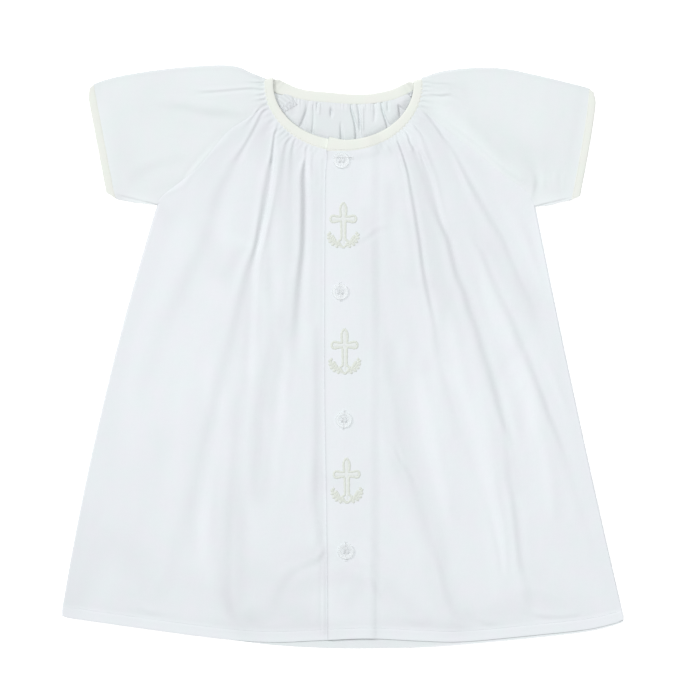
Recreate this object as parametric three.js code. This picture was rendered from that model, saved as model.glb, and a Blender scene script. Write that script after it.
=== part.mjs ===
// Baby gown with raglan sleeves, a gathered neck and a buttoned front, laid flat on its back.
//
// Units are millimetres. +X is the wearer's left, +Y points towards the neck and +Z points up,
// out of the surface that the gown lies on. Every cloth piece is a wall between two grids of
// points. The walls are drawn in plan from the outlines below, and a shared height function
// lays the folds and gathers over all the pieces of the front, so that they run on across seams.

import * as THREE from "three";

// ---- Driving dimensions -------------------------------------------------------------------

const CLOTH = 1.0; // wall of one layer of cloth
const BINDING = 1.5; // wall of the folded bias binding
const GAP = 0.3; // between pieces at a seam, and between layers that lie on each other
const HEM_DEPTH = 9.5; // how far the hem is turned up
const HEM_EXTRA = 0.5; // how much the turned hem adds to the wall
const CUFF_BINDING = 1.2; // wall of the sleeve bindings
const CUFF_WIDTH = 6.6; // width of the sleeve bindings
const RAGLAN_CHORDS = 12; // straight chords of a raglan seam, shared by the pieces beside it
const RAGLAN_SHARE = 0.76; // of the sleeve's lower edge that is raglan seam, the rest underside
const FRONT_FLOOR = CLOTH + GAP; // lowest height of the front layer
const SIDE_FADE = 24; // how far in from a side the folds reach their height
const HEM_FADE = 30; // and how far up from the hem
const HEM_CALM = 0.15; // share of the folds' height that is left at the hem
const CUFF_FADE = { from: 4, to: 34 }; // where the folds come in behind a sleeve's end
const LAP_STEP = CLOTH + GAP; // how far the overlap lies above the underlap
const STITCH_STEP = 0.6; // length over which the wall thickens at the hem's stitching

// The button placket runs down the middle of the front. Its overlap ends in a free edge, and its
// underlap reaches behind it; rampEnd is where the overlap has come down to the rest of the front.
const PLACKET = { underlap: 20, rampEnd: 31, plainTo: -17, looseFrom: -22 };
const LAP_EDGE = [
  { x: -11.5, y: 166 },
  { x: -13.9, y: 130 },
  { x: -14.4, y: 30 },
  { x: -14.1, y: -35 },
  { x: -12.7, y: -117 },
  { x: -11.8, y: -217 },
];
const BUTTON = { radius: 6.2, thickness: 2.2, bevel: 0.5, holeRadius: 0.85, holeAt: 1.6 };

// Places of the button centres on the placket.
const BUTTONS = [
  { x: -0.4, y: 151.5 },
  { x: -1.2, y: 50.5 },
  { x: 1.5, y: -48 },
  { x: 3.1, y: -149 },
];

// The two edges of the front neck binding are half ellipses about one centre.
const NECK = {
  x: 1.2,
  y: 210.5,
  holeX: 54,
  holeY: 43.2,
  seamX: 61.2,
  seamY: 52.2,
  mound: 1.2, // how far the gathered back neck lifts the front neck
  reach: 36, // how far that lift spreads
};

// The back neck binding, from the wearer's right shoulder fold to the left one: its free edge
// round the hole, and its edge on the gathered cloth.
const BACK_NECK = [
  { holeX: -52.8, holeY: 213.8, seamX: -60, seamY: 212.2 },
  { holeX: -48.6, holeY: 213, seamX: -57.2, seamY: 207.6 },
  { holeX: -43.4, holeY: 210.5, seamX: -50.6, seamY: 203.2 },
  { holeX: -35.4, holeY: 206.7, seamX: -40.5, seamY: 199.6 },
  { holeX: -25.4, holeY: 204.5, seamX: -28, seamY: 197.4 },
  { holeX: -10.5, holeY: 203.3, seamX: -11.5, seamY: 195.9 },
  { holeX: 6, holeY: 202.3, seamX: 6, seamY: 194.8 },
  { holeX: 22, holeY: 203, seamX: 23, seamY: 195.3 },
  { holeX: 37, holeY: 205.3, seamX: 39.5, seamY: 196.6 },
  { holeX: 46.5, holeY: 208.8, seamX: 51.5, seamY: 199.6 },
  { holeX: 51.5, holeY: 210.8, seamX: 59.4, seamY: 205.6 },
  { holeX: 55.2, holeY: 211.3, seamX: 62.4, seamY: 212.6 },
];
const BACK_CHORDS = 22; // straight chords of that edge, shared by the pieces beside it
const BACK_CORNERS = { right: 6, left: 19 }; // chords at which the back raglan seams meet it

// Outline of the hem, from side to side: the back panel's edge and the front's.
const HEM = [
  { x: -216, back: -198.2, front: -197.9 },
  { x: -155, back: -208.2, front: -207.8 },
  { x: -94, back: -216.2, front: -215.6 },
  { x: -54, back: -221, front: -219 },
  { x: -13, back: -223.4, front: -217.4 },
  { x: 20, back: -223.7, front: -216.2 },
  { x: 60, back: -223, front: -218 },
  { x: 94, back: -220.8, front: -219.4 },
  { x: 152, back: -216.6, front: -215.6 },
  { x: 191, back: -210.4, front: -209.6 },
  { x: 216, back: -204, front: -203.6 },
];

// Each side's outline, as corners and curves given by rows of x and y.
const LEFT = {
  sign: 1,
  underarm: { x: 148.5, y: 116.2 },
  hemCorner: { x: 216.3, y: -204 },
  sideBow: -0.2,
  neckAngle: 20.5,
  frontRaglan: [
    { x: 79, y: 176 },
    { x: 100, y: 160 },
    { x: 123, y: 141 },
    { x: 142, y: 127.5 },
    { x: 148.5, y: 116.2 },
  ],
  backRaglan: [
    { x: 82, y: 178 },
    { x: 120, y: 147 },
    { x: 148.5, y: 116.2 },
  ],
  fold: [
    { x: 62.8, y: 215.4 },
    { x: 75, y: 219.2 },
    { x: 92, y: 221.6 },
    { x: 110, y: 222.6 },
    { x: 128, y: 221.6 },
    { x: 145, y: 218.4 },
    { x: 176, y: 211 },
    { x: 190.4, y: 206.6 },
    { x: 195.6, y: 203.6 },
  ],
  underside: [
    { x: 148.5, y: 116.2 },
    { x: 160, y: 117.4 },
    { x: 168, y: 119.4 },
    { x: 176.6, y: 121.6 },
    { x: 183.2, y: 124.6 },
  ],
};

const RIGHT = {
  sign: -1,
  underarm: { x: -141.7, y: 117.4 },
  hemCorner: { x: -216.3, y: -198 },
  sideBow: 6.4,
  neckAngle: 162,
  frontRaglan: [
    { x: -74, y: 183 },
    { x: -89.5, y: 172 },
    { x: -111, y: 146 },
    { x: -137, y: 125.4 },
    { x: -141.7, y: 117.4 },
  ],
  backRaglan: [
    { x: -78, y: 178 },
    { x: -115, y: 148 },
    { x: -141.7, y: 117.4 },
  ],
  fold: [
    { x: -60.4, y: 215.2 },
    { x: -70, y: 219 },
    { x: -80, y: 222.6 },
    { x: -94, y: 223.7 },
    { x: -118, y: 222.6 },
    { x: -142, y: 220.4 },
    { x: -170, y: 216 },
    { x: -189.4, y: 210.6 },
    { x: -195.6, y: 206.6 },
  ],
  underside: [
    { x: -141.7, y: 117.4 },
    { x: -155, y: 118.8 },
    { x: -164, y: 120 },
    { x: -175.4, y: 122.8 },
    { x: -181.4, y: 127.2 },
  ],
};

// The folds and creases of the front. Each runs from one point to another with a sideways bow,
// has a width at either end, and a height: a ridge is positive and a trough is negative.
const FOLDS = [
  { x0: -60, y0: 190, x1: -140, y1: 28, bow: -2, width0: 4, width1: 14, height: -2 },
  { x0: -55, y0: 176, x1: -102, y1: 10, bow: 4, width0: 7, width1: 14, height: 1.6 },
  { x0: -54, y0: 172, x1: -126, y1: -140, bow: 3, width0: 4, width1: 10, height: -2.2 },
  { x0: -46, y0: 165, x1: -71, y1: -54, bow: -3, width0: 3.5, width1: 6, height: 2.2 },
  { x0: -40, y0: 162, x1: -62, y1: -85, bow: -2, width0: 4, width1: 11, height: -1.4 },
  { x0: -33, y0: 158, x1: -42, y1: 30, bow: 1, width0: 3.5, width1: 6, height: 1.6 },
  { x0: -28, y0: 158, x1: -36, y1: 16, bow: 1, width0: 3.5, width1: 5, height: -2.4 },
  { x0: -44, y0: -8, x1: -52, y1: -84, bow: 1, width0: 6, width1: 8, height: 1.2 },
  { x0: -90, y0: -40, x1: -108, y1: -162, bow: 3, width0: 5, width1: 8, height: 1.5 },
  { x0: -82, y0: -36, x1: -96, y1: -176, bow: -4, width0: 5, width1: 8, height: -1.9 },
  { x0: -16, y0: -150, x1: -52, y1: -186, bow: 3, width0: 4, width1: 7, height: -1 },
  { x0: -148, y0: -20, x1: -172, y1: -165, bow: 3, width0: 14, width1: 16, height: -0.8 },
  { x0: 34, y0: 158, x1: 60, y1: 10, bow: 3, width0: 5, width1: 9, height: 1.2 },
  { x0: 42, y0: 165, x1: 93, y1: -62, bow: 4, width0: 3.5, width1: 7, height: -2.2 },
  { x0: 30, y0: 80, x1: 90, y1: -198, bow: 6, width0: 9, width1: 8, height: -1.6 },
  { x0: 53, y0: 4, x1: 78, y1: -108, bow: 3, width0: 6, width1: 8, height: 1.3 },
  { x0: 54, y0: 174, x1: 78, y1: 106, bow: 2, width0: 4, width1: 6, height: -1.6 },
  { x0: 60, y0: 166, x1: 79, y1: 112, bow: -3, width0: 3, width1: 3, height: 1.2 },
  { x0: 76, y0: 112, x1: 138, y1: -168, bow: 9, width0: 4, width1: 6, height: -2.2 },
  { x0: 72, y0: 90, x1: 104, y1: -40, bow: 3, width0: 8, width1: 10, height: 1.4 },
  { x0: 108, y0: -52, x1: 126, y1: -164, bow: 3, width0: 5, width1: 5, height: 1.4 },
  { x0: 61, y0: 188, x1: 153, y1: 46, bow: 2, width0: 4, width1: 11, height: -1.9 },
  { x0: 104, y0: 92, x1: 188, y1: -128, bow: 5, width0: 5, width1: 8, height: -1.9 },
  { x0: 112, y0: 90, x1: 152, y1: 8, bow: 2, width0: 5, width1: 6, height: 1.2 },
  { x0: 126, y0: 0, x1: 150, y1: -96, bow: 2, width0: 7, width1: 8, height: 1.5 },
  { x0: 6, y0: -157, x1: 26, y1: -190, bow: 2, width0: 4, width1: 6, height: -0.8 },
  { x0: -58, y0: 206.4, x1: -108, y1: 204, bow: 1, width0: 3.5, width1: 5, height: -0.9 },
  { x0: 62, y0: 207, x1: 84, y1: 208, bow: 0, width0: 3.5, width1: 4, height: -0.9 },
  { x0: 61, y0: 199, x1: 82, y1: 200, bow: 0, width0: 3.5, width1: 4, height: -0.9 },
  { x0: -150, y0: 150, x1: -166, y1: 128, bow: 2, width0: 8, width1: 6, height: -0.7 },
  { x0: 108, y0: 176, x1: 146, y1: 146, bow: -2, width0: 9, width1: 8, height: -0.8 },
];

// Gathers round the front neck: where each trough starts on the binding, by its angle from the
// wearer's left shoulder, and how far it runs and how deep it is.
const FRONT_GATHERS = [
  { angle: 12, reach: 16, depth: 0.9 },
  { angle: 22, reach: 14, depth: 1 },
  { angle: 33, reach: 22, depth: 1.4 },
  { angle: 41, reach: 15, depth: 1.1 },
  { angle: 49, reach: 24, depth: 1.4 },
  { angle: 58, reach: 14, depth: 1 },
  { angle: 120, reach: 20, depth: 1.4 },
  { angle: 128, reach: 13, depth: 1.1 },
  { angle: 137, reach: 17, depth: 1.2 },
  { angle: 146, reach: 24, depth: 1.4 },
  { angle: 157, reach: 14, depth: 1 },
  { angle: 168, reach: 16, depth: 0.8 },
];
const GATHER_WIDTH = 2.6;

// Gathers of the back panel, seen through the neck: each trough's place and slant.
const BACK_GATHERS = [
  { x: -30, slant: -0.18, depth: 0.8 },
  { x: -20, slant: -0.1, depth: 0.6 },
  { x: -9, slant: 0.04, depth: 0.7 },
  { x: 0, slant: 0.02, depth: 0.8 },
  { x: 9, slant: 0.2, depth: 0.9 },
  { x: 20, slant: 0.1, depth: 0.6 },
  { x: 32, slant: 0.24, depth: 0.8 },
];

// The gathered back rises inside the neck: from top down it is full until calm and flat at reach,
// and its sides go flat between two shares of the neck's half width.
const BACK_PUFF = { height: 0.9, top: 196, calm: 4, reach: 34, innerShare: 0.5, outerShare: 0.66 };
const BACK_ROWS = [0, 0.02, 0.045, 0.09, 0.17, 0.4, 0.7, 1]; // grid lines down the back panel

// The front's fullness: its lift at the neck, how far that spreads, and its least lift elsewhere.
const FULLNESS = { neck: 1.7, reach: 150, least: 0.5 };

// Where along a fold its height fades in and out, as shares of its length.
const FOLD_ENDS = { inFrom: -0.12, inTo: 0.08, outFrom: 0.8, outTo: 1.15 };

const COLOURS = { cloth: 0xe8edf0, inside: 0xe1e8e9, binding: 0xeef0e2, button: 0xe6eaec };

// ---- Small helpers ------------------------------------------------------------------------

const plan = (row) => new THREE.Vector2(row.x, row.y);
const smooth = (low, high, value) => THREE.MathUtils.smoothstep(value, low, high);
const bell = (value, width) => Math.exp(-((value / width) ** 2));
const steps = (count, power = 1) => Array.from({ length: count + 1 }, (_, i) => (i / count) ** power);

/** A smooth curve through rows of x and y, as a function of 0 to 1 along its length. */
function curveThrough(rows) {
  const curve = new THREE.SplineCurve(rows.map(plan));
  return (t) => curve.getPointAt(THREE.MathUtils.clamp(t, 0, 1));
}

/** The same curve moved sideways, to its left as one walks along it. */
function beside(curve, distance) {
  const step = 0.01;
  return (t) => {
    const before = curve(Math.max(t - step, 0));
    const along = curve(Math.min(t + step, 1)).sub(before).normalize();
    return curve(t).add(new THREE.Vector2(-along.y, along.x).multiplyScalar(distance));
  };
}

/** A curve as a chain of straight chords, so that pieces on both sides of it can share its corners. */
function chain(curve, count) {
  const corners = steps(count).map(curve);
  const rounding = 1e-9;
  return (t) => {
    const k = Math.min(Math.floor(t * count + rounding), count - 1);
    return corners[k].clone().lerp(corners[k + 1], t * count - k);
  };
}

/** One curve after another, the first taking the given share of the way. */
function joined(first, second, share) {
  return (t) => (t < share ? first(t / share) : second((t - share) / (1 - share)));
}

/** Grid lines for `joined`: some for the first curve, and some for the second. */
function joinedSteps(first, second, share) {
  const rest = steps(second).slice(1).map((t) => THREE.MathUtils.lerp(share, 1, t));
  return [...steps(first).map((t) => t * share), ...rest];
}

const reversed = (curve) => (t) => curve(1 - t);
const straight = (from, to) => (t) => from.clone().lerp(to, t);

/** A point on an edge of the front neck, at an angle in degrees from the left shoulder. */
function neckPoint(edge, angle, outwards = 0) {
  const a = THREE.MathUtils.degToRad(angle);
  const x = NECK.x + (NECK[`${edge}X`] + outwards) * Math.cos(a);
  return new THREE.Vector2(x, NECK.y - (NECK[`${edge}Y`] + outwards) * Math.sin(a));
}

/** The front neck's seam edge between two angles, a gap outside the binding. */
function neckArc(from, to) {
  return (t) => neckPoint("seam", THREE.MathUtils.lerp(from, to, t), GAP);
}

/** The angle at which the vertical line at x meets the front neck's seam edge. */
function neckAngle(x) {
  return THREE.MathUtils.radToDeg(Math.acos((x - NECK.x) / NECK.seamX));
}

/** An edge of the back neck, from the right shoulder to the left, moved outwards. */
function backNeck(edge, outwards = 0) {
  const rows = BACK_NECK.map((row) => ({ x: row[`${edge}X`], y: row[`${edge}Y`] }));
  const curve = new THREE.SplineCurve(rows.map(plan));
  return chain(beside((t) => curve.getPoint(t), -outwards), BACK_CHORDS);
}

/** The hem's height in plan at x, by a smooth curve through one column of the hem table. */
function hemAt(column, x) {
  const last = HEM.length - 2;
  const found = HEM.findIndex((row, i) => i > 0 && x <= row.x) - 1;
  const k = THREE.MathUtils.clamp(found < 0 ? last : found, 0, last);
  const slope = (i) => {
    const a = HEM[Math.max(i - 1, 0)];
    const b = HEM[Math.min(i + 1, HEM.length - 1)];
    return (b[column] - a[column]) / (b.x - a.x);
  };
  const span = HEM[k + 1].x - HEM[k].x;
  const t = (x - HEM[k].x) / span;
  const blend = smooth(0, 1, t);
  const start = HEM[k][column] + slope(k) * span * t;
  const end = HEM[k + 1][column] - slope(k + 1) * span * (1 - t);
  return start + (end - start) * blend;
}

/** A curve eased sideways so that it starts and ends at the given points. */
function fitted(curve, from, to) {
  const atStart = from.clone().sub(curve(0));
  const atEnd = to.clone().sub(curve(1));
  return (t) => curve(t).addScaledVector(atStart, 1 - t).addScaledVector(atEnd, t);
}

/** A Coons patch: the plane surface that four boundary curves enclose. */
function patch(top, bottom, left, right) {
  const corners = [top(0), top(1), bottom(0), bottom(1)];
  const first = fitted(left, corners[0], corners[2]);
  const last = fitted(right, corners[1], corners[3]);
  return (u, v) =>
    top(u).multiplyScalar(1 - v)
      .addScaledVector(bottom(u), v)
      .addScaledVector(first(v), 1 - u)
      .addScaledVector(last(v), u)
      .addScaledVector(corners[0], -(1 - u) * (1 - v))
      .addScaledVector(corners[1], -u * (1 - v))
      .addScaledVector(corners[2], -(1 - u) * v)
      .addScaledVector(corners[3], -u * v);
}

/** A closed wall between two grids of points, with strips round its four edges. */
function wall(us, vs, faceAt, backAt) {
  const columns = us.length;
  const rows = vs.length;
  const positions = [];
  for (const surface of [faceAt, backAt]) {
    for (const v of vs) {
      for (const u of us) {
        positions.push(...surface(u, v).toArray());
      }
    }
  }
  const at = (side, row, column) => (side * rows + row) * columns + column;
  const index = [];
  const quad = (a, b, c, d) => index.push(a, b, c, a, c, d);
  for (let row = 0; row + 1 < rows; row += 1) {
    for (let column = 0; column + 1 < columns; column += 1) {
      const [i, j] = [row + 1, column + 1];
      quad(at(0, row, column), at(0, i, column), at(0, i, j), at(0, row, j));
      quad(at(1, row, column), at(1, row, j), at(1, i, j), at(1, i, column));
    }
    quad(at(0, row, 0), at(1, row, 0), at(1, row + 1, 0), at(0, row + 1, 0));
    const end = columns - 1;
    quad(at(0, row, end), at(0, row + 1, end), at(1, row + 1, end), at(1, row, end));
  }
  for (let column = 0; column + 1 < columns; column += 1) {
    const end = rows - 1;
    quad(at(0, 0, column), at(0, 0, column + 1), at(1, 0, column + 1), at(1, 0, column));
    quad(at(0, end, column), at(1, end, column), at(1, end, column + 1), at(0, end, column + 1));
  }
  const geometry = new THREE.BufferGeometry();
  geometry.setAttribute("position", new THREE.Float32BufferAttribute(positions, 3));
  geometry.setIndex(signedVolume(positions, index) < 0 ? index.reverse() : index);
  geometry.computeVertexNormals();
  return geometry;
}

function signedVolume(positions, index) {
  const corner = (i) => new THREE.Vector3().fromArray(positions, 3 * index[i]);
  let volume = 0;
  for (let i = 0; i < index.length; i += 3) {
    volume += corner(i).dot(corner(i + 1).cross(corner(i + 2))) / 6;
  }
  return volume;
}

// ---- Heights ------------------------------------------------------------------------------

/** A fold's height over a point: a bell across its bowed line, faded in and out at its ends. */
function foldHeight(fold, x, y) {
  const dx = fold.x1 - fold.x0;
  const dy = fold.y1 - fold.y0;
  const length = Math.hypot(dx, dy);
  const t = ((x - fold.x0) * dx + (y - fold.y0) * dy) / length ** 2;
  const { inFrom, inTo, outFrom, outTo } = FOLD_ENDS;
  const along = THREE.MathUtils.clamp(t, 0, 1);
  const side = (dx * (y - fold.y0) - dy * (x - fold.x0)) / length;
  const across = side - fold.bow * 4 * along * (1 - along);
  const width = THREE.MathUtils.lerp(fold.width0, fold.width1, along);
  const ends = smooth(inFrom, inTo, t) * (1 - smooth(outFrom, outTo, t));
  return fold.height * ends * bell(across, width);
}

/** How far a point lies outside the front neck, and at what angle. */
function fromNeck(x, y) {
  const dx = (x - NECK.x) / NECK.seamX;
  const dy = (NECK.y - y) / NECK.seamY;
  const size = Math.hypot(dx, dy);
  return {
    distance: ((size - 1) * (NECK.seamX + NECK.seamY)) / 2,
    angle: THREE.MathUtils.radToDeg(Math.atan2(dy, dx)),
  };
}

/** The gathers at the front neck, as troughs that run out from the binding. */
function gatherHeight(distance, angle) {
  const radius = (NECK.seamX + NECK.seamY) / 2 + distance;
  let height = 0;
  for (const gather of FRONT_GATHERS) {
    const across = THREE.MathUtils.degToRad(angle - gather.angle) * radius;
    const width = GATHER_WIDTH * (1 + distance / gather.reach);
    height -= gather.depth * bell(across, width) * bell(Math.max(distance, 0), gather.reach);
  }
  return height;
}

/** How far the mound of the gathered neck lifts the layers over it. */
function moundHeight(distance) {
  return NECK.mound * bell(Math.max(distance, 0), NECK.reach);
}

/**
 * How far folds and gathers lift the front above the height where it lies flat: their sum, eased
 * so that it never falls below nothing.
 */
function liftAt(x, y) {
  const { distance, angle } = fromNeck(x, y);
  const fullness = FULLNESS.neck * bell(Math.max(distance, 0), FULLNESS.reach);
  let lift = FULLNESS.least + fullness + gatherHeight(distance, angle);
  for (const fold of FOLDS) {
    lift += foldHeight(fold, x, y);
  }
  return (lift + Math.hypot(lift, FULLNESS.least)) / 2;
}

/** The front layer's lower face, with its lift scaled by a share that fades it out at edges. */
function frontHeight(x, y, share) {
  return FRONT_FLOOR + moundHeight(fromNeck(x, y).distance) + share * liftAt(x, y);
}

/** The back layer's lower face: flat, but for the gathers seen through the neck. */
function backHeight(x, y) {
  const across = (x - NECK.x) / NECK.seamX;
  const below = BACK_PUFF.top - y;
  const fade = 1 - smooth(BACK_PUFF.calm, BACK_PUFF.reach, below);
  const inside = 1 - smooth(BACK_PUFF.innerShare, BACK_PUFF.outerShare, Math.abs(across));
  let height = BACK_PUFF.height;
  for (const gather of BACK_GATHERS) {
    const offset = x - gather.x - gather.slant * below;
    height -= gather.depth * bell(offset, GATHER_WIDTH);
  }
  return Math.max(height, 0) * fade * inside;
}

/** A cloth wall's upper face stands off by more on a slope, so that the wall keeps its gauge. */
function slopeFactor(heightAt, x, y) {
  const step = 0.5;
  const most = 1.5;
  const dx = (heightAt(x + step, y) - heightAt(x - step, y)) / (2 * step);
  const dy = (heightAt(x, y + step) - heightAt(x, y - step)) / (2 * step);
  return Math.min(Math.hypot(1, dx, dy), most);
}

// ---- Panels -------------------------------------------------------------------------------

/** The side seam of one side, from underarm to hem, bowed sideways. */
function sideSeam(side, column) {
  const from = plan(side.underarm);
  const to = new THREE.Vector2(side.hemCorner.x, hemAt(column, side.hemCorner.x));
  return (t) => {
    const point = from.clone().lerp(to, t);
    point.x += side.sign * side.sideBow * 4 * t * (1 - t);
    return point;
  };
}

/**
 * The share of the folds' height near a side: none on the side seam and on the sleeve's underside,
 * and all of it a little way in from them.
 */
function sideShare(side, x, y) {
  const { underarm, hemCorner, underside, sign, sideBow } = side;
  const out = (x - underarm.x) * sign;
  if (y < underarm.y) {
    const t = (underarm.y - y) / (underarm.y - hemCorner.y);
    const edge = (THREE.MathUtils.lerp(underarm.x, hemCorner.x, t) - x) * sign;
    return smooth(0, SIDE_FADE, edge + sideBow * 4 * t * (1 - t));
  }
  const end = underside.at(-1);
  const floor = THREE.MathUtils.mapLinear(x, underarm.x, end.x, underarm.y, end.y);
  return smooth(0, SIDE_FADE, out > 0 ? y - floor : Math.hypot(x - underarm.x, y - underarm.y));
}

/** Rows down a panel: closer together at the neck, and a pair where the hem is stitched. */
function panelRows(count, power, length) {
  const stitch = 1 - HEM_DEPTH / length;
  return [...steps(count, power).map((v) => v * stitch), stitch + STITCH_STEP / length, 1];
}

/** How much thicker the wall is where the hem is turned up. */
function hemExtra(v, length) {
  return v > 1 - (HEM_DEPTH - STITCH_STEP / 2) / length ? HEM_EXTRA : 0;
}

/** A raglan seam moved by half a gap, to the sleeve's side of it (1) or to the body's (-1). */
function raglanSeam(side, half, toSleeve) {
  const corner = side.sign > 0 ? BACK_CORNERS.left : BACK_CORNERS.right;
  const onFront = neckArc(0, side.neckAngle)(1);
  const onBack = backNeck("seam", GAP)(corner / BACK_CHORDS);
  const seam = curveThrough([half === "front" ? onFront : onBack, ...side[`${half}Raglan`]]);
  return chain(beside(seam, (side.sign * toSleeve * GAP) / 2), RAGLAN_CHORDS);
}

/** One front panel, from the placket's inner edge, given from neck to hem, to the side seam. */
function frontPanel(side, innerEdge) {
  const neckShare = 0.55;
  const length = 340;
  const [hemBegins, hemWhole] = [4, 1.2].map((depths) => 1 - (depths * HEM_DEPTH) / length);
  const seam = raglanSeam(side, "front", -1);
  const arc = neckArc(neckAngle(innerEdge(0).x), side.neckAngle);
  const top = joined(fitted(arc, arc(0), seam(0)), seam, neckShare);
  const outer = sideSeam(side, "front");
  const bottom = (u) => {
    const x = THREE.MathUtils.lerp(innerEdge(1).x, side.hemCorner.x, u);
    return new THREE.Vector2(x, hemAt("front", x));
  };
  const shape = patch(top, bottom, innerEdge, outer);
  const overlaps = side.sign > 0;
  const plainTo = overlaps ? PLACKET.underlap : PLACKET.plainTo;
  const looseFrom = overlaps ? PLACKET.rampEnd + 2 : PLACKET.looseFrom;

  const shareAt = (x, y) => {
    const fromPlacket = smooth(plainTo * side.sign, looseFrom * side.sign, x * side.sign);
    const fromHem = smooth(0, HEM_FADE, y - hemAt("front", x));
    return fromPlacket * sideShare(side, x, y) * THREE.MathUtils.lerp(HEM_CALM, 1, fromHem);
  };
  const lowAt = (u, v) => {
    const { x, y } = shape(u, v);
    const step = LAP_STEP + HEM_EXTRA * smooth(hemBegins, hemWhole, v);
    const lap = overlaps ? step * (1 - smooth(PLACKET.underlap + 1, PLACKET.rampEnd, x)) : 0;
    return new THREE.Vector3(x, y, frontHeight(x, y, shareAt(x, y)) + lap);
  };
  const highAt = (u, v) => {
    const low = lowAt(u, v);
    const share = shareAt(low.x, low.y);
    const factor = slopeFactor((x, y) => frontHeight(x, y, share), low.x, low.y);
    low.z += CLOTH * factor + hemExtra(v, length);
    return low;
  };
  const columns = joinedSteps(24, RAGLAN_CHORDS, neckShare);
  return wall(columns, panelRows(13, 1.25, length), highAt, lowAt);
}

/** The back panel: both raglan seams and the neck along its top, and the hem below. */
function backPanel() {
  const shares = { right: 0.3, left: 0.7 };
  const rightRaglan = raglanSeam(RIGHT, "back", -1);
  const leftRaglan = raglanSeam(LEFT, "back", -1);
  const { right, left } = BACK_CORNERS;
  const edge = backNeck("seam", GAP);
  const arc = (t) => edge(THREE.MathUtils.lerp(right, left, t) / BACK_CHORDS);
  const neck = fitted(arc, rightRaglan(0), leftRaglan(0));
  const upper = joined(neck, leftRaglan, (shares.left - shares.right) / (1 - shares.right));
  const top = joined(reversed(rightRaglan), upper, shares.right);
  const bottom = (u) => {
    const x = THREE.MathUtils.lerp(RIGHT.hemCorner.x, LEFT.hemCorner.x, u);
    return new THREE.Vector2(x, hemAt("back", x));
  };
  const shape = patch(top, bottom, sideSeam(RIGHT, "back"), sideSeam(LEFT, "back"));
  const lowAt = (u, v) => {
    const { x, y } = shape(u, v);
    return new THREE.Vector3(x, y, backHeight(x, y));
  };
  const highAt = (u, v) => lowAt(u, v).add(new THREE.Vector3(0, 0, CLOTH));
  const acrossNeck = steps(2 * (left - right)).map((t) => THREE.MathUtils.lerp(shares.right, shares.left, t));
  const rightPart = steps(RAGLAN_CHORDS).map((t) => t * shares.right);
  const leftPart = steps(RAGLAN_CHORDS).map((t) => THREE.MathUtils.lerp(shares.left, 1, t));
  const us = [...rightPart.slice(0, -1), ...acrossNeck, ...leftPart.slice(1)];
  return wall(us, BACK_ROWS, highAt, lowAt);
}

// ---- Sleeves and their bindings -----------------------------------------------------------

/**
 * A tube laid flat: a front half, a roll over its top fold and a back half, with the seam along
 * its underside left open by the gap. `half` gives the plan shape of either half, and `frontLow`
 * the front layer's lower face.
 */
function foldedWall(us, frontHalf, backHalf, frontLow, gauge, counts) {
  const radius = (u) => {
    const { x, y } = frontHalf(u, 0);
    return (frontLow(x, y) + gauge) / 2;
  };
  const surface = (outside) => (u, t) => {
    const roll = radius(u);
    const reach = outside ? roll : roll - gauge;
    if (t < 1) {
      const { x, y } = frontHalf(u, 1 - t);
      const low = frontLow(x, y);
      return new THREE.Vector3(x, y, outside ? low + gauge : low);
    }
    if (t > 2) {
      const { x, y } = backHalf(u, t - 2);
      return new THREE.Vector3(x, y, outside ? 0 : gauge);
    }
    const turn = (t - 1) * Math.PI;
    const { x, y } = frontHalf(u, 0);
    return new THREE.Vector3(x, y + reach * Math.sin(turn), roll + reach * Math.cos(turn));
  };
  const round = [
    ...steps(counts.front).slice(0, -1),
    ...steps(counts.roll).map((t) => t + 1),
    ...steps(counts.back).slice(1).map((t) => t + 2),
  ];
  return wall(us, round, surface(true), surface(false));
}

/** How far along a curve one comes to a line beside the sleeve's end, at an inset from it. */
function shareToCuff(curve, side, inset) {
  const end = plan(side.fold.at(-1));
  const along = plan(side.underside.at(-1)).sub(end).normalize();
  const fromEnd = (t) => Math.abs(along.cross(curve(t).sub(end)));
  const halvings = 24;
  let [low, high] = [0, 1];
  for (let i = 0; i < halvings; i += 1) {
    const middle = (low + high) / 2;
    [low, high] = fromEnd(middle) > inset ? [middle, high] : [low, middle];
  }
  return low;
}

/** The part of a curve that lies on the body's side of the sleeve binding's seam. */
function upToCuff(curve, side) {
  const share = shareToCuff(curve, side, CUFF_WIDTH + GAP / 2);
  return (t) => curve(t * share);
}

/** The sleeve's front lies on its back with folds that fade out towards its free edges. */
function sleeveHeight(side, x, y) {
  const fromCuff = smooth(CUFF_FADE.from, CUFF_FADE.to, Math.abs(side.fold.at(-1).x - x));
  return frontHeight(x, y, fromCuff * sideShare(side, x, y));
}

/** The sleeve's edge at the neck, from its fold down to a raglan seam. */
function sleeveNeck(side, half, foldCurve) {
  const corner = side.sign > 0 ? BACK_CORNERS.left : BACK_CORNERS.right;
  const shoulder = side.sign > 0 ? BACK_CHORDS : 0;
  const edge = backNeck("seam", GAP);
  if (half === "back") {
    return (v) => edge(THREE.MathUtils.lerp(shoulder, corner, v) / BACK_CHORDS);
  }
  const arc = neckArc(side.sign > 0 ? 0 : 180, side.neckAngle);
  const straightShare = 0.15;
  return (v) => {
    const t = (v - straightShare) / (1 - straightShare);
    return t < 0 ? foldCurve(0).lerp(arc(0), v / straightShare) : arc(t);
  };
}

/** Plan shapes of the sleeve's two halves, from neck to cuff and from fold to lower edge. */
function sleeveHalf(side, half, foldCurve) {
  const raglan = raglanSeam(side, half, 1);
  const underside = upToCuff(curveThrough(side.underside), side);
  const lower = joined(raglan, fitted(underside, raglan(1), underside(1)), RAGLAN_SHARE);
  const cuff = straight(foldCurve(1), lower(1));
  return patch(foldCurve, lower, sleeveNeck(side, half, foldCurve), cuff);
}

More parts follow.
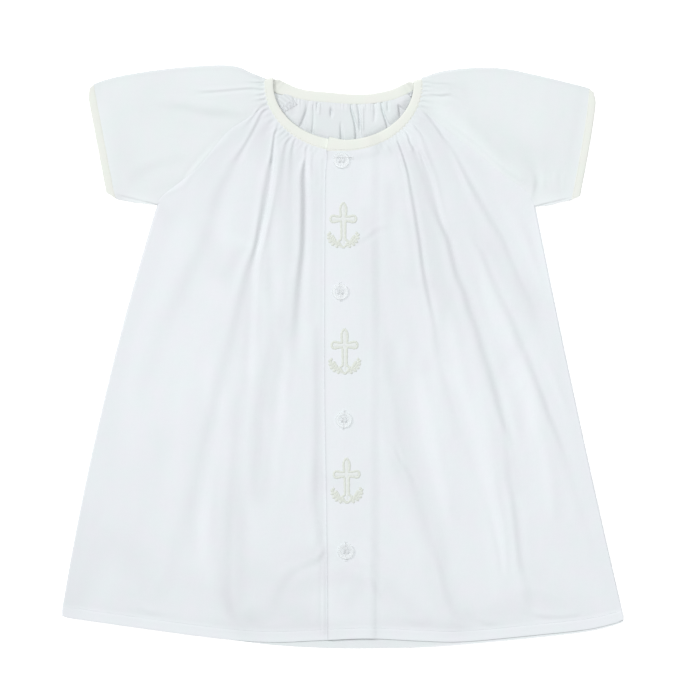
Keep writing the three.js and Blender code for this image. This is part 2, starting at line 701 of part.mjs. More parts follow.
function sleeve(side) {
  const outline = upToCuff(curveThrough(side.fold), side);
  const heightAt = (x, y) => sleeveHeight(side, x, y);
  const foldCurve = (u) => {
    const point = outline(u);
    const roll = (heightAt(point.x, point.y) + CLOTH) / 2;
    point.y -= roll;
    return point;
  };
  const frontHalf = sleeveHalf(side, "front", foldCurve);
  const backHalf = sleeveHalf(side, "back", foldCurve);
  const counts = { front: 8, roll: 4, back: 6 };
  const undersideChords = 3;
  const lengthwise = joinedSteps(RAGLAN_CHORDS, undersideChords, RAGLAN_SHARE);
  return foldedWall(lengthwise, frontHalf, backHalf, heightAt, CLOTH, counts);
}

/** The binding of a sleeve's end: a strip round it, folded over at the top like the sleeve. */
function cuffBinding(side) {
  const band = (curve) => {
    const share = shareToCuff(curve, side, CUFF_WIDTH - GAP / 2);
    return (u) => curve(THREE.MathUtils.lerp(share, 1, u));
  };
  const frontLow = () => CUFF_BINDING + GAP;
  const rise = new THREE.Vector2(0, frontLow() / 2 + CUFF_BINDING / 2);
  const outline = band(curveThrough(side.fold));
  const top = (u) => outline(u).sub(rise);
  const bottom = band(curveThrough(side.underside));
  const half = patch(top, bottom, straight(top(0), bottom(0)), straight(top(1), bottom(1)));
  const counts = { front: 8, roll: 4, back: 8 };
  return foldedWall(steps(3), half, half, frontLow, CUFF_BINDING, counts);
}

// ---- Neck binding -------------------------------------------------------------------------

/** Height of the binding's lower face at an angle along the front of the neck. */
function bindingHeight(angle, overlapping) {
  const { x } = neckPoint("seam", angle);
  const lap = overlapping ? (BINDING + GAP) * (1 - smooth(PLACKET.underlap + 2, 40, x)) : 0;
  return FRONT_FLOOR + NECK.mound + lap;
}

/**
 * The stations of the neck binding in order: from its end on the overlap, up to the wearer's
 * left shoulder, over it, along the back, over the right shoulder, and down to its other end.
 */
function bindingStations() {
  const [holeEdge, seamEdge] = [backNeck("hole"), backNeck("seam")];
  const frontStations = (overlapping, from, to, count) =>
    steps(count).map((t) => {
      const angle = THREE.MathUtils.lerp(from, to, t);
      const low = bindingHeight(angle, overlapping);
      const [hole, seam] = [neckPoint("hole", angle), neckPoint("seam", angle)];
      return { hole, seam, outside: low + BINDING, inside: low };
    });
  const shoulder = (t, turns) => {
    const roll = (bindingHeight(180 * (1 - t), false) + BINDING) / 2;
    return turns.map((turn) => {
      const [sine, cosine] = [Math.sin(turn * Math.PI), Math.cos(turn * Math.PI)];
      return {
        hole: holeEdge(t),
        seam: seamEdge(t),
        outside: roll + roll * cosine,
        inside: roll + (roll - BINDING) * cosine,
        outsideY: roll * sine,
        insideY: (roll - BINDING) * sine,
      };
    });
  };
  const back = steps(BACK_CHORDS).slice(1, -1).reverse().map((t) => (
    { hole: holeEdge(t), seam: seamEdge(t), outside: 0, inside: BINDING }
  ));
  const over = steps(4);
  return [
    ...frontStations(true, neckAngle(LAP_EDGE[0].x), 0, 16),
    ...shoulder(1, over),
    ...back,
    ...shoulder(0, over.toReversed()),
    ...frontStations(false, 180, neckAngle(PLACKET.underlap), 18),
  ];
}

function neckBinding() {
  const stations = bindingStations();
  const at = (outside) => (u, v) => {
    const station = stations[Math.round(v * (stations.length - 1))];
    const point = station.hole.clone().lerp(station.seam, u);
    const side = outside ? "outside" : "inside";
    return new THREE.Vector3(point.x, point.y + (station[`${side}Y`] ?? 0), station[side]);
  };
  return wall([0, 1], steps(stations.length - 1), at(true), at(false));
}

// ---- Buttons ------------------------------------------------------------------------------

/** A round four-hole button, lying on the placket. */
function buttonGeometry() {
  const { radius, thickness, bevel, holeRadius, holeAt } = BUTTON;
  const shape = new THREE.Shape();
  shape.absarc(0, 0, radius - bevel, 0, 2 * Math.PI, false);
  for (const [sx, sy] of [[1, 1], [-1, 1], [-1, -1], [1, -1]]) {
    const hole = steps(8).slice(0, -1).map((t) => {
      const a = 2 * Math.PI * t;
      const x = sx * holeAt + (holeRadius + bevel) * Math.cos(a);
      return new THREE.Vector2(x, sy * holeAt + (holeRadius + bevel) * Math.sin(a));
    });
    shape.holes.push(new THREE.Path(hole));
  }
  return new THREE.ExtrudeGeometry(shape, {
    depth: thickness - 2 * bevel,
    curveSegments: 14,
    bevelThickness: bevel,
    bevelSize: bevel,
    bevelSegments: 1,
  }).translate(0, 0, bevel);
}

/** The highest place of the placket's upper face under a button. */
function placketTop({ x, y }) {
  const moundAt = (offset) => moundHeight(fromNeck(x, y + offset).distance);
  return FRONT_FLOOR + LAP_STEP + CLOTH + Math.max(moundAt(0), moundAt(BUTTON.radius));
}

// ---- The gown -----------------------------------------------------------------------------

const finish = (color, roughness = 0.9) =>
  new THREE.MeshStandardMaterial({ color, roughness, metalness: 0 });

function piece(name, geometry, material) {
  const mesh = new THREE.Mesh(geometry, material);
  mesh.name = name;
  return mesh;
}

const overlapEdge = curveThrough(LAP_EDGE);
const underlapTop = neckPoint("seam", neckAngle(PLACKET.underlap), GAP);
const underlapFoot = new THREE.Vector2(PLACKET.underlap, hemAt("front", PLACKET.underlap));
const underlapEdge = straight(underlapTop, underlapFoot);

const gown = new THREE.Group();
gown.add(
  piece("back_panel", backPanel(), finish(COLOURS.inside)),
  piece("front_right_panel", frontPanel(RIGHT, underlapEdge), finish(COLOURS.cloth)),
  piece("front_left_panel", frontPanel(LEFT, overlapEdge), finish(COLOURS.cloth)),
  piece("sleeve_left", sleeve(LEFT), finish(COLOURS.cloth)),
  piece("sleeve_right", sleeve(RIGHT), finish(COLOURS.cloth)),
  piece("neck_binding", neckBinding(), finish(COLOURS.binding)),
  piece("cuff_binding_left", cuffBinding(LEFT), finish(COLOURS.binding)),
  piece("cuff_binding_right", cuffBinding(RIGHT), finish(COLOURS.binding)),
);
BUTTONS.forEach((place, i) => {
  const button = piece(`button_${i + 1}`, buttonGeometry(), finish(COLOURS.button, 0.25));
  button.position.set(place.x, place.y, placketTop(place) + GAP);
  gown.add(button);
});

export default gown;
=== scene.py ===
"""A baby gown with raglan sleeves, a gathered neck and a buttoned front, laid flat on its back.

Lengths in the tables are millimetres in the frame's own axes: +X towards the wearer's left, +Y
towards the neck, +Z up out of the front. Meshes are made in metres.
"""

import math

import bpy
import numpy as np
from bpy.props import FloatProperty, FloatVectorProperty, PointerProperty
from bpy.types import Operator, Panel, PropertyGroup
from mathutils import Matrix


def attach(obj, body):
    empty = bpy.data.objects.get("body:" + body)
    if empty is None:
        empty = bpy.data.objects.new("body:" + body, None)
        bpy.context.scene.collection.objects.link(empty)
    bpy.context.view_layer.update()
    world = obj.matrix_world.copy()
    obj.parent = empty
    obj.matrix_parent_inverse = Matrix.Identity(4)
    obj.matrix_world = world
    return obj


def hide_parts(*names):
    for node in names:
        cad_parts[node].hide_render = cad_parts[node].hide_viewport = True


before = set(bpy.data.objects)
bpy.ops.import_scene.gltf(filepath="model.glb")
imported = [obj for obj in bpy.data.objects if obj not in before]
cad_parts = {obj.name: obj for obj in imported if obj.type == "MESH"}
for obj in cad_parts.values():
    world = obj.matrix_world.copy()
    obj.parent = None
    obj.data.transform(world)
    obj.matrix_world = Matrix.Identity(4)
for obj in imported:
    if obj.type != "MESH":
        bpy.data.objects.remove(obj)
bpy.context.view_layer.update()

bl_info = {
    "name": "Baby gown",
    "version": (1, 0, 0),
    "blender": (4, 5, 0),
    "location": "3D View > Sidebar > Gown",
    "description": "Builds a baby gown laid flat, piece by piece, on its packed frame",
    "category": "Add Mesh",
}

MM = 0.001


def path(*points):
    """Points as an array of rows."""
    return np.array(points, float)


def table(columns, *rows):
    """Rows of numbers as a dictionary of arrays, one for each named column."""
    return dict(zip(columns.split(), path(*rows).T))


def rows_of(columns):
    """The rows of such a table again, each as a dictionary of numbers."""
    names = list(columns)
    return [dict(zip(names, row)) for row in zip(*columns.values())]


# ---- Outlines -----------------------------------------------------------------------------------

# The front neck's two edges are half ellipses about one centre: the hole's and the seam's.
NECK = {"x": 1.2, "y": 210.5, "hole_x": 54.0, "hole_y": 43.2, "seam_x": 61.2, "seam_y": 52.2}

# The back neck binding from the right shoulder to the left: its free edge and its seam edge.
BACK_NECK = table(
    "hole_x hole_y seam_x seam_y",
    (-52.8, 213.8, -60.0, 212.2), (-48.6, 213.9, -57.2, 207.6), (-43.4, 211.6, -50.6, 203.4),
    (-35.4, 207.9, -39.8, 200.8), (-25.4, 205.6, -28.0, 197.8), (-10.5, 204.2, -11.5, 196.2),
    (6.0, 202.8, 6.0, 194.9), (22.0, 203.0, 23.0, 195.3), (37.0, 206.0, 39.3, 198.2),
    (46.5, 210.0, 50.4, 202.8), (51.5, 212.2, 57.6, 207.4), (55.2, 211.3, 62.4, 212.6),
)
# How far along it the raglan seams meet it.
BACK_CORNERS = {"right": 6 / 22, "left": 19 / 22}

# The hem from side to side: the back panel's edge and the front panels'.
HEM = table(
    "x back front",
    (-216.0, -199.2, -199.6), (-155.0, -207.8, -208.2), (-94.0, -216.0, -216.2),
    (-54.0, -221.0, -219.0), (-13.0, -223.4, -217.4), (20.0, -223.7, -216.2),
    (60.0, -223.0, -218.0), (94.0, -220.8, -218.5), (152.0, -215.2, -213.2),
    (191.0, -210.4, -208.8), (216.0, -204.0, -202.8),
)

# Each side's own lines and numbers. fold is the sleeve's top edge and underside its lower one. The
# bows bend the sleeve's end and the side seam outwards, and rounded draws in the hem's corner.
# allowance is the width of the raglan seam's allowance inside the back, and neck_angle is where the
# raglan meets the front neck. The lights are painted light and shade: how much lighter the
# allowance and the front's edge at the side seam are painted, darker where negative.
LEFT = {
    "name": "left",
    "sign": 1,
    "cuff_bow": 1.2,
    "allowance": 4.5,
    "allowance_light": -0.16,
    "rounded": 1.2,
    "underarm": (148.5, 116.2),
    "corner_x": 217.6,
    "side_bow": -1.5,
    "neck_angle": 20.5,
    "front_raglan": path((79, 176), (100, 160), (123, 141), (142, 127.5), (148.5, 116.2)),
    "back_raglan": path((82, 178), (120, 147), (148.5, 116.2)),
    "fold": path(
        (61.4, 215.4), (75, 219.9), (92, 222.3), (110, 223.2), (128, 221.9), (145, 218.4),
        (176, 211.2), (190.4, 207.1), (195.6, 203.6),
    ),
    "underside": path((148.5, 116.2), (160, 117.4), (168, 119.4), (176.6, 121.6), (183.2, 124.6)),
    "edge_light": 0.1,
}

RIGHT = {
    "name": "right",
    "sign": -1,
    "cuff_bow": 0.0,
    "allowance": 8.5,
    "allowance_light": 0.03,
    "rounded": 1.0,
    "underarm": (-141.7, 117.4),
    "corner_x": -216.3,
    "side_bow": 5.8,
    "neck_angle": 162.0,
    "front_raglan": path((-74, 183), (-89.5, 172), (-111, 146), (-137, 125.4), (-141.7, 117.4)),
    "back_raglan": path((-78, 178), (-115, 148), (-141.7, 117.4)),
    "fold": path(
        (-59.2, 215.2), (-70, 219.3), (-80, 223.6), (-94, 225.0), (-118, 223.8), (-142, 221.3),
        (-170, 216.9), (-189.4, 211.3), (-196.2, 206.8),
    ),
    "underside": path(
        (-141.7, 117.4), (-155, 118.8), (-164, 120), (-175.4, 122.8), (-181.4, 127.2),
    ),
    "edge_light": -0.025,
}

# The overlap's free edge down the front.
LAP = path(
    (-11.5, 164), (-12.0, 152), (-13.3, 130), (-13.8, 30), (-13.5, -35), (-12.1, -117),
    (-11.4, -171), (-11.2, -217),
)
UNDERLAP = 20.0  # how far the underlap reaches behind the overlap
RAMP_END = 30.0  # where the overlap has come down to the height of the front

# The buttons, with the turn of each one's buttonhole and how far it lies to the right and above.
BUTTONS = table(
    "x y turn right above",
    (-0.4, 151.5, 90, 1.4, 2.0), (-1.2, 50.5, 4, 0, 0), (1.5, -48.0, -3, 0, 0),
    (3.1, -149.0, 2, 0, 0),
)
# The middle of each embroidered motif and how far it leans to the left, in degrees.
MOTIFS = table("x y lean", (1.0, 106.6, 0.0), (2.0, 9.6, 0.4), (3.6, -89.8, 0.9))

# ---- Folds --------------------------------------------------------------------------------------

# Each fold is a line of points, each with x, y, the fold's half width and its height there. On the
# fronts and sleeves a fold is sided, a step down across its line where its height is negative.
FOLDS = {
    # right front
    "curl": [
        (-53, 191.5, 1, -0.9), (-58, 191.5, 1.1, -1.1), (-62.5, 187, 1.2, -1.2),
        (-66, 179.5, 1.3, -1.3), (-70.5, 171, 1.3, -1.1), (-76, 161.5, 1.5, -1),
        (-81, 153, 2.4, -0.7),
    ],
    "sweep": [
        (-79, 158, 2.5, -0.4), (-87, 143, 3.5, -0.7), (-97, 122, 4.4, -0.8), (-105, 92, 5, -0.7),
        (-117, 66, 5.5, -0.6), (-128, 41, 6.5, -0.5), (-140, 18, 7.5, -0.4), (-149, -8, 8, -0.4),
        (-152, -35, 8, -0.3),
    ],
    "curl twin": [
        (-56, 194.5, 0.9, -0.5), (-63, 192, 1, -0.7), (-67.5, 186, 1, -0.9), (-76, 176, 2, -0.2),
    ],
    "notch": [(-51.5, 186, 1.2, -0.9), (-55, 181.5, 1.8, -0.7), (-60, 174.5, 2.5, -0.4)],
    "long start": [
        (-47, 180.8, 0.9, -0.9), (-49.5, 177.8, 1, -1.3), (-51.8, 172.5, 1, -1.2),
        (-53, 165, 1.1, -1.4), (-54.6, 150, 1.5, -1.6),
    ],
    "long": [
        (-55, 152, 1.8, -0.8), (-57, 140, 2.6, -1.7), (-60, 124, 2.6, -1.7),
        (-63.5, 104, 2.2, -1.9), (-67, 85, 2.2, -1.8), (-72.5, 68, 3, -1.5), (-78, 46, 4, -1.3),
        (-83, 24, 4.5, -1.1), (-88, 4, 5, -0.9), (-97, -28, 6, -0.8), (-106, -62, 6.5, -0.8),
        (-115, -105, 7, -0.8), (-126, -145, 8, -0.7), (-136, -172, 8, -0.4),
    ],
    "long ridge": [
        (-50.5, 160, 1.6, 0.7), (-51.5, 148, 1.8, 1.1), (-53.5, 130, 1.8, 1.5),
        (-57, 110, 1.8, 1.5), (-61, 92, 1.8, 1.4), (-64.8, 76, 2, 1.2), (-67, 52, 2.6, 0.9),
        (-69, 5, 3.2, 0.9), (-71.5, -50, 3.2, 0.5),
    ],
    "inner a": [
        (-39.5, 173.5, 1, -1.1), (-41, 169, 1.1, -1), (-45, 157, 1.7, -0.9), (-48, 120, 3, -0.4),
    ],
    "inner b": [
        (-35.5, 167.5, 1, -1.1), (-38.2, 162.5, 1.1, -1.1), (-39.4, 152, 1.8, -0.7),
        (-41, 118, 3, -0.3),
    ],
    "deep start": [(-26.5, 163.5, 0.8, -1.2), (-27.8, 159.5, 0.9, -1), (-28.2, 154, 1, -0.4)],
    "deep": [
        (-28.6, 152.5, 0.8, -0.7), (-29.4, 147.5, 1.7, -2.3), (-30.2, 138, 2.7, -3.2),
        (-30, 120, 2.8, -3.5), (-30.2, 100, 2.9, -3.6), (-30.8, 82, 3, -3.4), (-33, 62, 3.4, -3),
        (-34.5, 44, 3.8, -2.5), (-36, 26, 4, -1.8), (-37, 8, 4.4, -0.6),
    ],
    "next to lap": [(-22.5, 160, 1.2, -0.4), (-23.5, 148, 1.3, -0.5), (-24, 126, 2, -0.3)],
    "underlap rise": [(-17, 164, 3, 0.4), (-16, 150, 3, 0.5), (-15.5, 133, 2, 0.4)],
    "middle": [
        (-56, 100, 3, -0.4), (-57, 70, 3, -0.6), (-55, 20, 4.5, -0.8), (-57, 0, 5, -1.1),
        (-61, -30, 5.5, -1.3), (-64, -64, 5.5, -1.2), (-67, -100, 6, -0.5),
    ],
    "low ridge": [
        (-91, -30, 3.6, 0.6), (-96, -55, 4.6, 1.3), (-101, -80, 5, 1.8), (-105, -100, 5, 2),
        (-107, -125, 4.6, 1.8), (-107, -150, 4, 0.8),
    ],
    "low": [
        (-80.5, -32, 3, -0.5), (-82, -60, 5, -1), (-85, -88, 7, -1.8), (-87, -112, 8, -2.5),
        (-88, -135, 8.6, -2.9), (-89, -160, 9, -3.2), (-89, -178, 8.6, -3.2), (-87, -190, 7, -2.9),
        (-84, -199, 5.4, -2.4), (-77, -206, 4.4, -1.5), (-68, -210, 3.6, -0.6),
    ],
    "middle ridge": [
        (-43, 4, 3.4, 0.6), (-46, -22, 4.2, 1.4), (-48.5, -48, 4.6, 1.4), (-51, -80, 4.4, 0.9),
        (-53, -100, 4, 0.3),
    ],
    "beside lap": [
        (-20, 20, 3, -0.4), (-19.5, -15, 3, -0.9), (-19, -60, 3.6, -1.3), (-20, -100, 4.2, -1.6),
        (-17.5, -140, 3.4, -1.1),
    ],
    "slant": [
        (-13, -149, 1.4, -1), (-19, -156, 1.6, -1.2), (-28, -160, 1.8, -0.9), (-38, -165, 3, -0.7),
        (-47, -176, 4, -0.6), (-52, -190, 5, -0.4),
    ],
    "lap edge": [(-14.6, -156, 1.2, 0.5), (-14.8, -180, 1.3, 0.8), (-14.4, -215, 1.3, 0.8)],
    "right hem": [(-158, -193, 3, -0.3), (-148, -197, 3, -0.8), (-138, -199, 3, -0.3)],
    # left front
    "first": [
        (40, 171.5, 0.9, -1), (43, 165, 1, -1.5), (46, 156.5, 1.2, -1.6), (49, 147, 1.2, -1.6),
        (50.8, 140, 1.4, -1.4), (53.2, 126, 1.7, -1.4), (56.5, 107, 1.9, -1.6), (59.2, 90, 2, -1.7),
        (61.2, 74, 2, -1.6), (64, 57, 2.2, -1.5), (67, 43, 2.2, -1.3), (70.5, 26, 2.4, -0.8),
        (74, 0, 3.4, -0.6), (81, -25, 4, -0.6), (88, -55, 5, -0.4),
    ],
    "first ridge": [(44.6, 156, 1.2, 0.6), (46.5, 148, 1.4, 0.7), (48.5, 141, 1.4, 0.4)],
    "short": [(33.5, 167, 1.2, -0.5), (35.5, 163.5, 1.3, -0.7), (38, 158, 1.6, -0.3)],
    "hollow start": [
        (47.5, 175.5, 0.9, -0.6), (50.2, 170.5, 1, -1.2), (52, 165, 1.1, -1.4),
        (54.5, 160.5, 1.4, -1.2),
    ],
    "hollow": [
        (54.5, 161, 1.8, -0.6), (58, 150, 3, -0.9), (63, 138, 3.6, -1.1), (68, 122, 3.4, -1.2),
        (73, 108, 3, -1), (78, 96, 2.4, -0.4),
    ],
    "hollow edge": [(59.5, 157.5, 0.9, -0.5), (61.5, 152.5, 1, -0.8), (63.5, 147, 1.2, -0.4)],
    "hollow ridge": [
        (59.5, 161.5, 1.3, 0.5), (63.5, 153, 1.6, 1.1), (68, 143, 1.6, 1.2), (71.5, 132, 1.6, 1.1),
        (74.5, 119, 1.6, 1), (77.5, 107, 1.7, 0.8), (80.5, 98, 2, 0.4),
    ],
    "second": [
        (71, 114, 2.8, -0.3), (74, 107, 2.8, -0.9), (78, 98, 2.8, -1.7), (81.5, 89, 2.8, -2.2),
        (84.5, 76, 2.9, -2.2), (88.5, 62, 3.2, -2.3), (93.8, 50, 3.4, -2.4), (98, 36, 3.8, -2.4),
        (103.5, 22, 4, -2.3), (108.5, 4, 4, -2.3), (113, -9, 4, -2.3), (116.5, -22, 3.8, -2.3),
        (120.5, -38, 3.6, -2.2), (125, -52, 3, -1.8), (129, -60.5, 2.4, -0.9),
    ],
    "second low": [
        (124, -55, 3.6, -0.8), (127, -75, 4, -1.4), (128.5, -95, 3.8, -1.8), (131, -108, 3.4, -2),
        (133.5, -125, 3.4, -2), (135.5, -145, 3.4, -2), (138, -162, 3.6, -1.8),
        (141, -172, 3.8, -1.1), (143, -190, 4.4, -0.6),
    ],
    "third": [
        (53, 181.5, 1, -0.8), (57, 176, 1.1, -1.1), (61, 170.8, 1.3, -1.1), (64, 163, 1.8, -0.8),
        (73, 140, 2.4, -0.2),
    ],
    "fourth": [
        (58.5, 192.5, 1.3, -0.8), (64, 187.5, 1.5, -1.2), (69, 181, 1.7, -1.5),
        (73.5, 175, 1.7, -1.7), (77.5, 169, 1.7, -1.5), (81.5, 163.5, 2, -1.2), (87, 154, 2.4, -1),
        (94, 142, 2.6, -1.2), (101, 129, 2.8, -1.7), (111, 111, 3.4, -1.8), (118, 100, 4, -1.8),
        (125.5, 89, 4.4, -1.8), (130, 77, 4.6, -1.7), (136, 63, 5, -1.7), (142, 50, 5.2, -1.6),
        (147.5, 38, 5.4, -1.2), (152, 24, 5, -0.6), (156, 12, 5, -0.2),
    ],
    "fourth ridge": [
        (80, 165, 1.6, 0.3), (84.5, 156, 1.8, 0.7), (89, 145, 1.8, 0.8), (94, 133, 1.8, 0.7),
        (99, 122, 2, 0.4),
    ],
    "fifth": [
        (101, 89, 2.4, -0.5), (107, 81, 2.8, -1.1), (112.5, 68, 3, -1.4), (118, 55, 3.4, -1.5),
        (124.5, 41, 3.8, -1.7), (131, 28, 4, -1.8), (137, 12, 4.2, -1.8), (142.5, 0, 4.2, -1.9),
        (148, -14, 4, -2), (153.5, -28, 3.8, -2.1), (159.5, -44, 3.8, -2.1), (165, -57, 3.8, -2),
        (170, -70, 4.2, -1.7), (174, -83, 4.6, -1.1), (182, -108, 5.4, -0.9),
        (189, -130, 5.4, -0.9), (194, -145, 5, -0.3),
    ],
    "fifth ridge": [
        (107, 60, 2.6, 0.5), (112, 45, 3.6, 1.2), (119, 25, 4.8, 1.9), (129, 3, 5.6, 2.2),
        (138, -20, 5.8, 2.2), (146, -45, 5.8, 2.1), (152.5, -70, 5.4, 2), (157, -95, 5, 1.6),
        (159, -120, 4, 0.5),
    ],
    "broad ridge": [
        (82, 32, 4, 0.6), (85, 12, 5.4, 1.5), (90, -12, 6.2, 2.1), (97, -38, 6.2, 2.3),
        (104, -62, 5.8, 2.3), (110, -85, 5, 2.1), (116, -108, 4.2, 2), (121, -130, 3.4, 1.9),
        (124, -150, 2.4, 1.4), (125, -165, 2, 0.4),
    ],
    "centre ridge": [
        (57, -5, 4.4, 0.8), (61, -32, 5.6, 1.8), (66, -62, 5.8, 2), (72, -88, 5, 2),
        (78, -110, 4.2, 1.4), (82, -125, 3.4, 0.3),
    ],
    "left hem a": [
        (45, -200, 4, -0.4), (54, -204, 4, -0.9), (64, -205, 4, -0.6), (72, -204, 4, -0.2),
    ],
    "left hem b": [(106, -203, 3, -0.5), (113, -205.5, 3, -0.9), (119, -206, 3, -0.3)],
    "left hem c": [
        (143, -196, 3, -0.4), (152, -199, 2.4, -0.8), (166, -200, 2, -0.5), (180, -199, 2, -0.4),
    ],
    "button crease": [
        (9, -163, 1.6, -0.5), (16, -166, 1.8, -0.9), (22, -171, 2.2, -1.1), (27, -178, 3, -1),
        (38, -194, 4.5, -0.4),
    ],
    "button rise": [(15, -157, 2.5, 0.5), (19, -161.5, 2.5, 0.8), (22, -165, 2, 0.2)],
    "button upper": [(20, -139, 2, -0.4), (25, -145, 2.4, -0.7), (31, -151, 2.4, -0.3)],
    "motif crease": [
        (12, 88, 1.6, -0.4), (19, 92, 1.6, -0.6), (26, 97.5, 1.8, -0.6), (34, 100, 2.4, -0.3),
    ],
    "far light": [
        (-112, 135, 8, 0.3), (-122, 110, 10, 1), (-135, 75, 11, 1.3), (-148, 40, 11, 1.4),
        (-160, 5, 11, 1.3), (-168, -30, 10, 1.2), (-166, -60, 12, 0.8), (-160, -85, 12, 0.2),
    ],
    "sweep light": [
        (-84, 130, 5, 0.3), (-89, 105, 6, 0.8), (-96, 75, 8, 1), (-106, 45, 10, 1.2),
        (-114, 10, 11, 1.3), (-121, -25, 11, 1.3), (-126, -60, 9, 1.2), (-130, -90, 8, 0.8),
        (-134, -115, 8, 0.2),
    ],
    "light patch": [(-48, 72, 4, 0.3), (-48, 58, 4, 0.9), (-47, 44, 4, 0.3)],
    "low hollow": [
        (-72, -174, 7, -0.5), (-60, -182, 8, -1.2), (-45, -190, 8, -1.4), (-28, -194, 7, -0.9),
        (-20, -196, 6, -0.3),
    ],
    "centre": [
        (20, 112, 5, -0.4), (24, 90, 5.5, -1), (26, 65, 5.5, -1.3), (28, 40, 5.5, -1.5),
        (32, 10, 6, -1.6), (36, -15, 6.4, -1.8), (41, -45, 6.8, -2.3), (46, -72, 6.4, -2.4),
        (53, -94, 6, -2.4), (59.5, -112, 6, -2.4), (66, -135, 6, -2.3), (73, -155, 5.4, -2.3),
        (79, -175, 5.2, -2.3), (83.5, -190, 5.2, -2.1), (89, -199, 5, -1.6), (98, -205, 4, -0.9),
        (106, -207, 4, -0.3),
    ],
    "centre bend": [
        (40, -70, 1.6, -0.4), (44, -79, 1.5, -0.8), (50, -87, 1.6, -0.8), (55, -95, 1.8, -0.3),
    ],
    "inner light": [
        (41, 130, 4, 0.4), (43, 110, 4.6, 0.8), (47, 88, 5, 0.6), (53, 60, 5, 0.3),
        (58, 28, 5, 0.6), (61, 8, 5, 0.6),
    ],
    "outer light": [
        (157, -8, 3, 0.6), (163, -22, 3.4, 1.1), (170, -38, 3.4, 1), (176, -55, 3.4, 0.4),
    ],
    "side light": [
        (121, 117, 4, 0.5), (132, 99, 5.4, 1.7), (141, 80, 5.4, 1.9), (149.5, 60, 5, 1.6),
        (156, 45, 4, 0.8),
    ],
    "second light": [
        (97, 8, 4.4, 0.5), (103, -20, 5, 1.3), (108, -42, 5, 1.6), (112.5, -65, 4.6, 1.5),
        (116, -88, 4, 0.7),
    ],
    # right sleeve
    "right crease": [
        (-58, 206.8, 1, -0.7), (-70, 207, 1.1, -0.9), (-82, 206, 1.2, -0.8),
        (-96, 204.8, 1.3, -0.9), (-106, 204.2, 1.5, -0.8), (-113, 205, 2, -0.2),
    ],
    "right shoulder": [(-58, 211.5, 1, -0.4), (-66, 211.5, 1.1, -0.5), (-73, 212, 1.4, -0.2)],
    "right band": [
        (-78, 186, 4, -0.8), (-92, 188, 4.5, -1.5), (-106, 189, 4.5, -1.5), (-120, 192.5, 4, -1.1),
        (-136, 194, 4, -0.5),
    ],
    "right lower": [
        (-165, 125, 4, -0.5), (-161, 137, 4.5, -0.8), (-151, 145.5, 4.5, -0.7),
        (-138, 150, 4.5, -0.5), (-122, 153, 5, -0.3),
    ],
    "right lower ridge": [(-156, 123, 5, 0.5), (-152, 130, 5, 0.4)],
    "right seam ridge": [
        (-85, 176, 2.4, 0.3), (-92, 168, 3, 0.6), (-101, 160, 2.4, 0.5), (-111, 149.5, 2, 0.6),
        (-118, 141, 1.8, 0.6), (-123, 134, 1.8, 0.5), (-131, 129.5, 1.8, 0.6),
        (-139, 126, 1.8, 0.4),
    ],
    # left sleeve
    "left crease": [
        (61, 203.5, 0.9, -0.6), (68, 202.3, 1.1, -0.9), (76, 201.5, 1.2, -1),
        (84, 201.6, 1.8, -0.9), (95, 195, 3.5, -0.3),
    ],
    "left shoulder": [
        (61, 211.2, 0.9, -0.5), (70, 210.8, 1, -0.5), (82, 210.3, 1.2, -0.4), (88, 207, 3, -0.6),
        (91, 203, 3, -0.3),
    ],
    "left band": [
        (84, 190, 4, -0.7), (96, 184, 5, -1.5), (106, 174, 5.5, -1.7), (117, 163, 5.5, -1.8),
        (128, 152, 5.5, -1.6), (140, 144, 4.4, -1.3), (149, 139, 3.6, -0.9), (157, 137, 3, -0.3),
    ],
    "left seam ridge": [
        (66, 192, 1.8, 0.2), (76, 184.5, 2, 0.6), (86, 176.5, 2.2, 0.8), (97, 168.5, 2.2, 0.9),
        (108, 159.5, 2.2, 0.9), (118, 150, 2, 0.9), (129, 141.5, 2, 0.8), (139, 134.5, 2.4, 0.6),
        (145, 129.5, 2.4, 0.3),
    ],
    "underarm": [
        (137, 160, 2.8, -0.22), (143, 153, 3.4, -0.45), (147, 145, 3.1, -0.68),
        (149, 137, 2.5, -0.9), (148.3, 128, 2.1, -0.98), (147, 118, 1.8, -0.9),
        (147.3, 108, 1.8, -0.6), (149, 98, 2, -0.22),
    ],
    "ripple a": [(156, 141, 1.4, -0.3), (156.5, 132, 1.4, -0.3)],
    "ripple b": [(162.5, 141, 1.2, 0.4), (162.5, 134, 1.2, 0.3)],
    "ripple c": [(166.5, 140, 1.2, -0.5), (167, 130, 1.3, -0.4)],
    "ripple d": [(171.5, 138, 1.3, -0.4), (171, 126, 1.4, -0.3)],
    "ripple e": [(175, 139, 1.2, 0.4), (174, 132, 1.2, 0.3)],
}
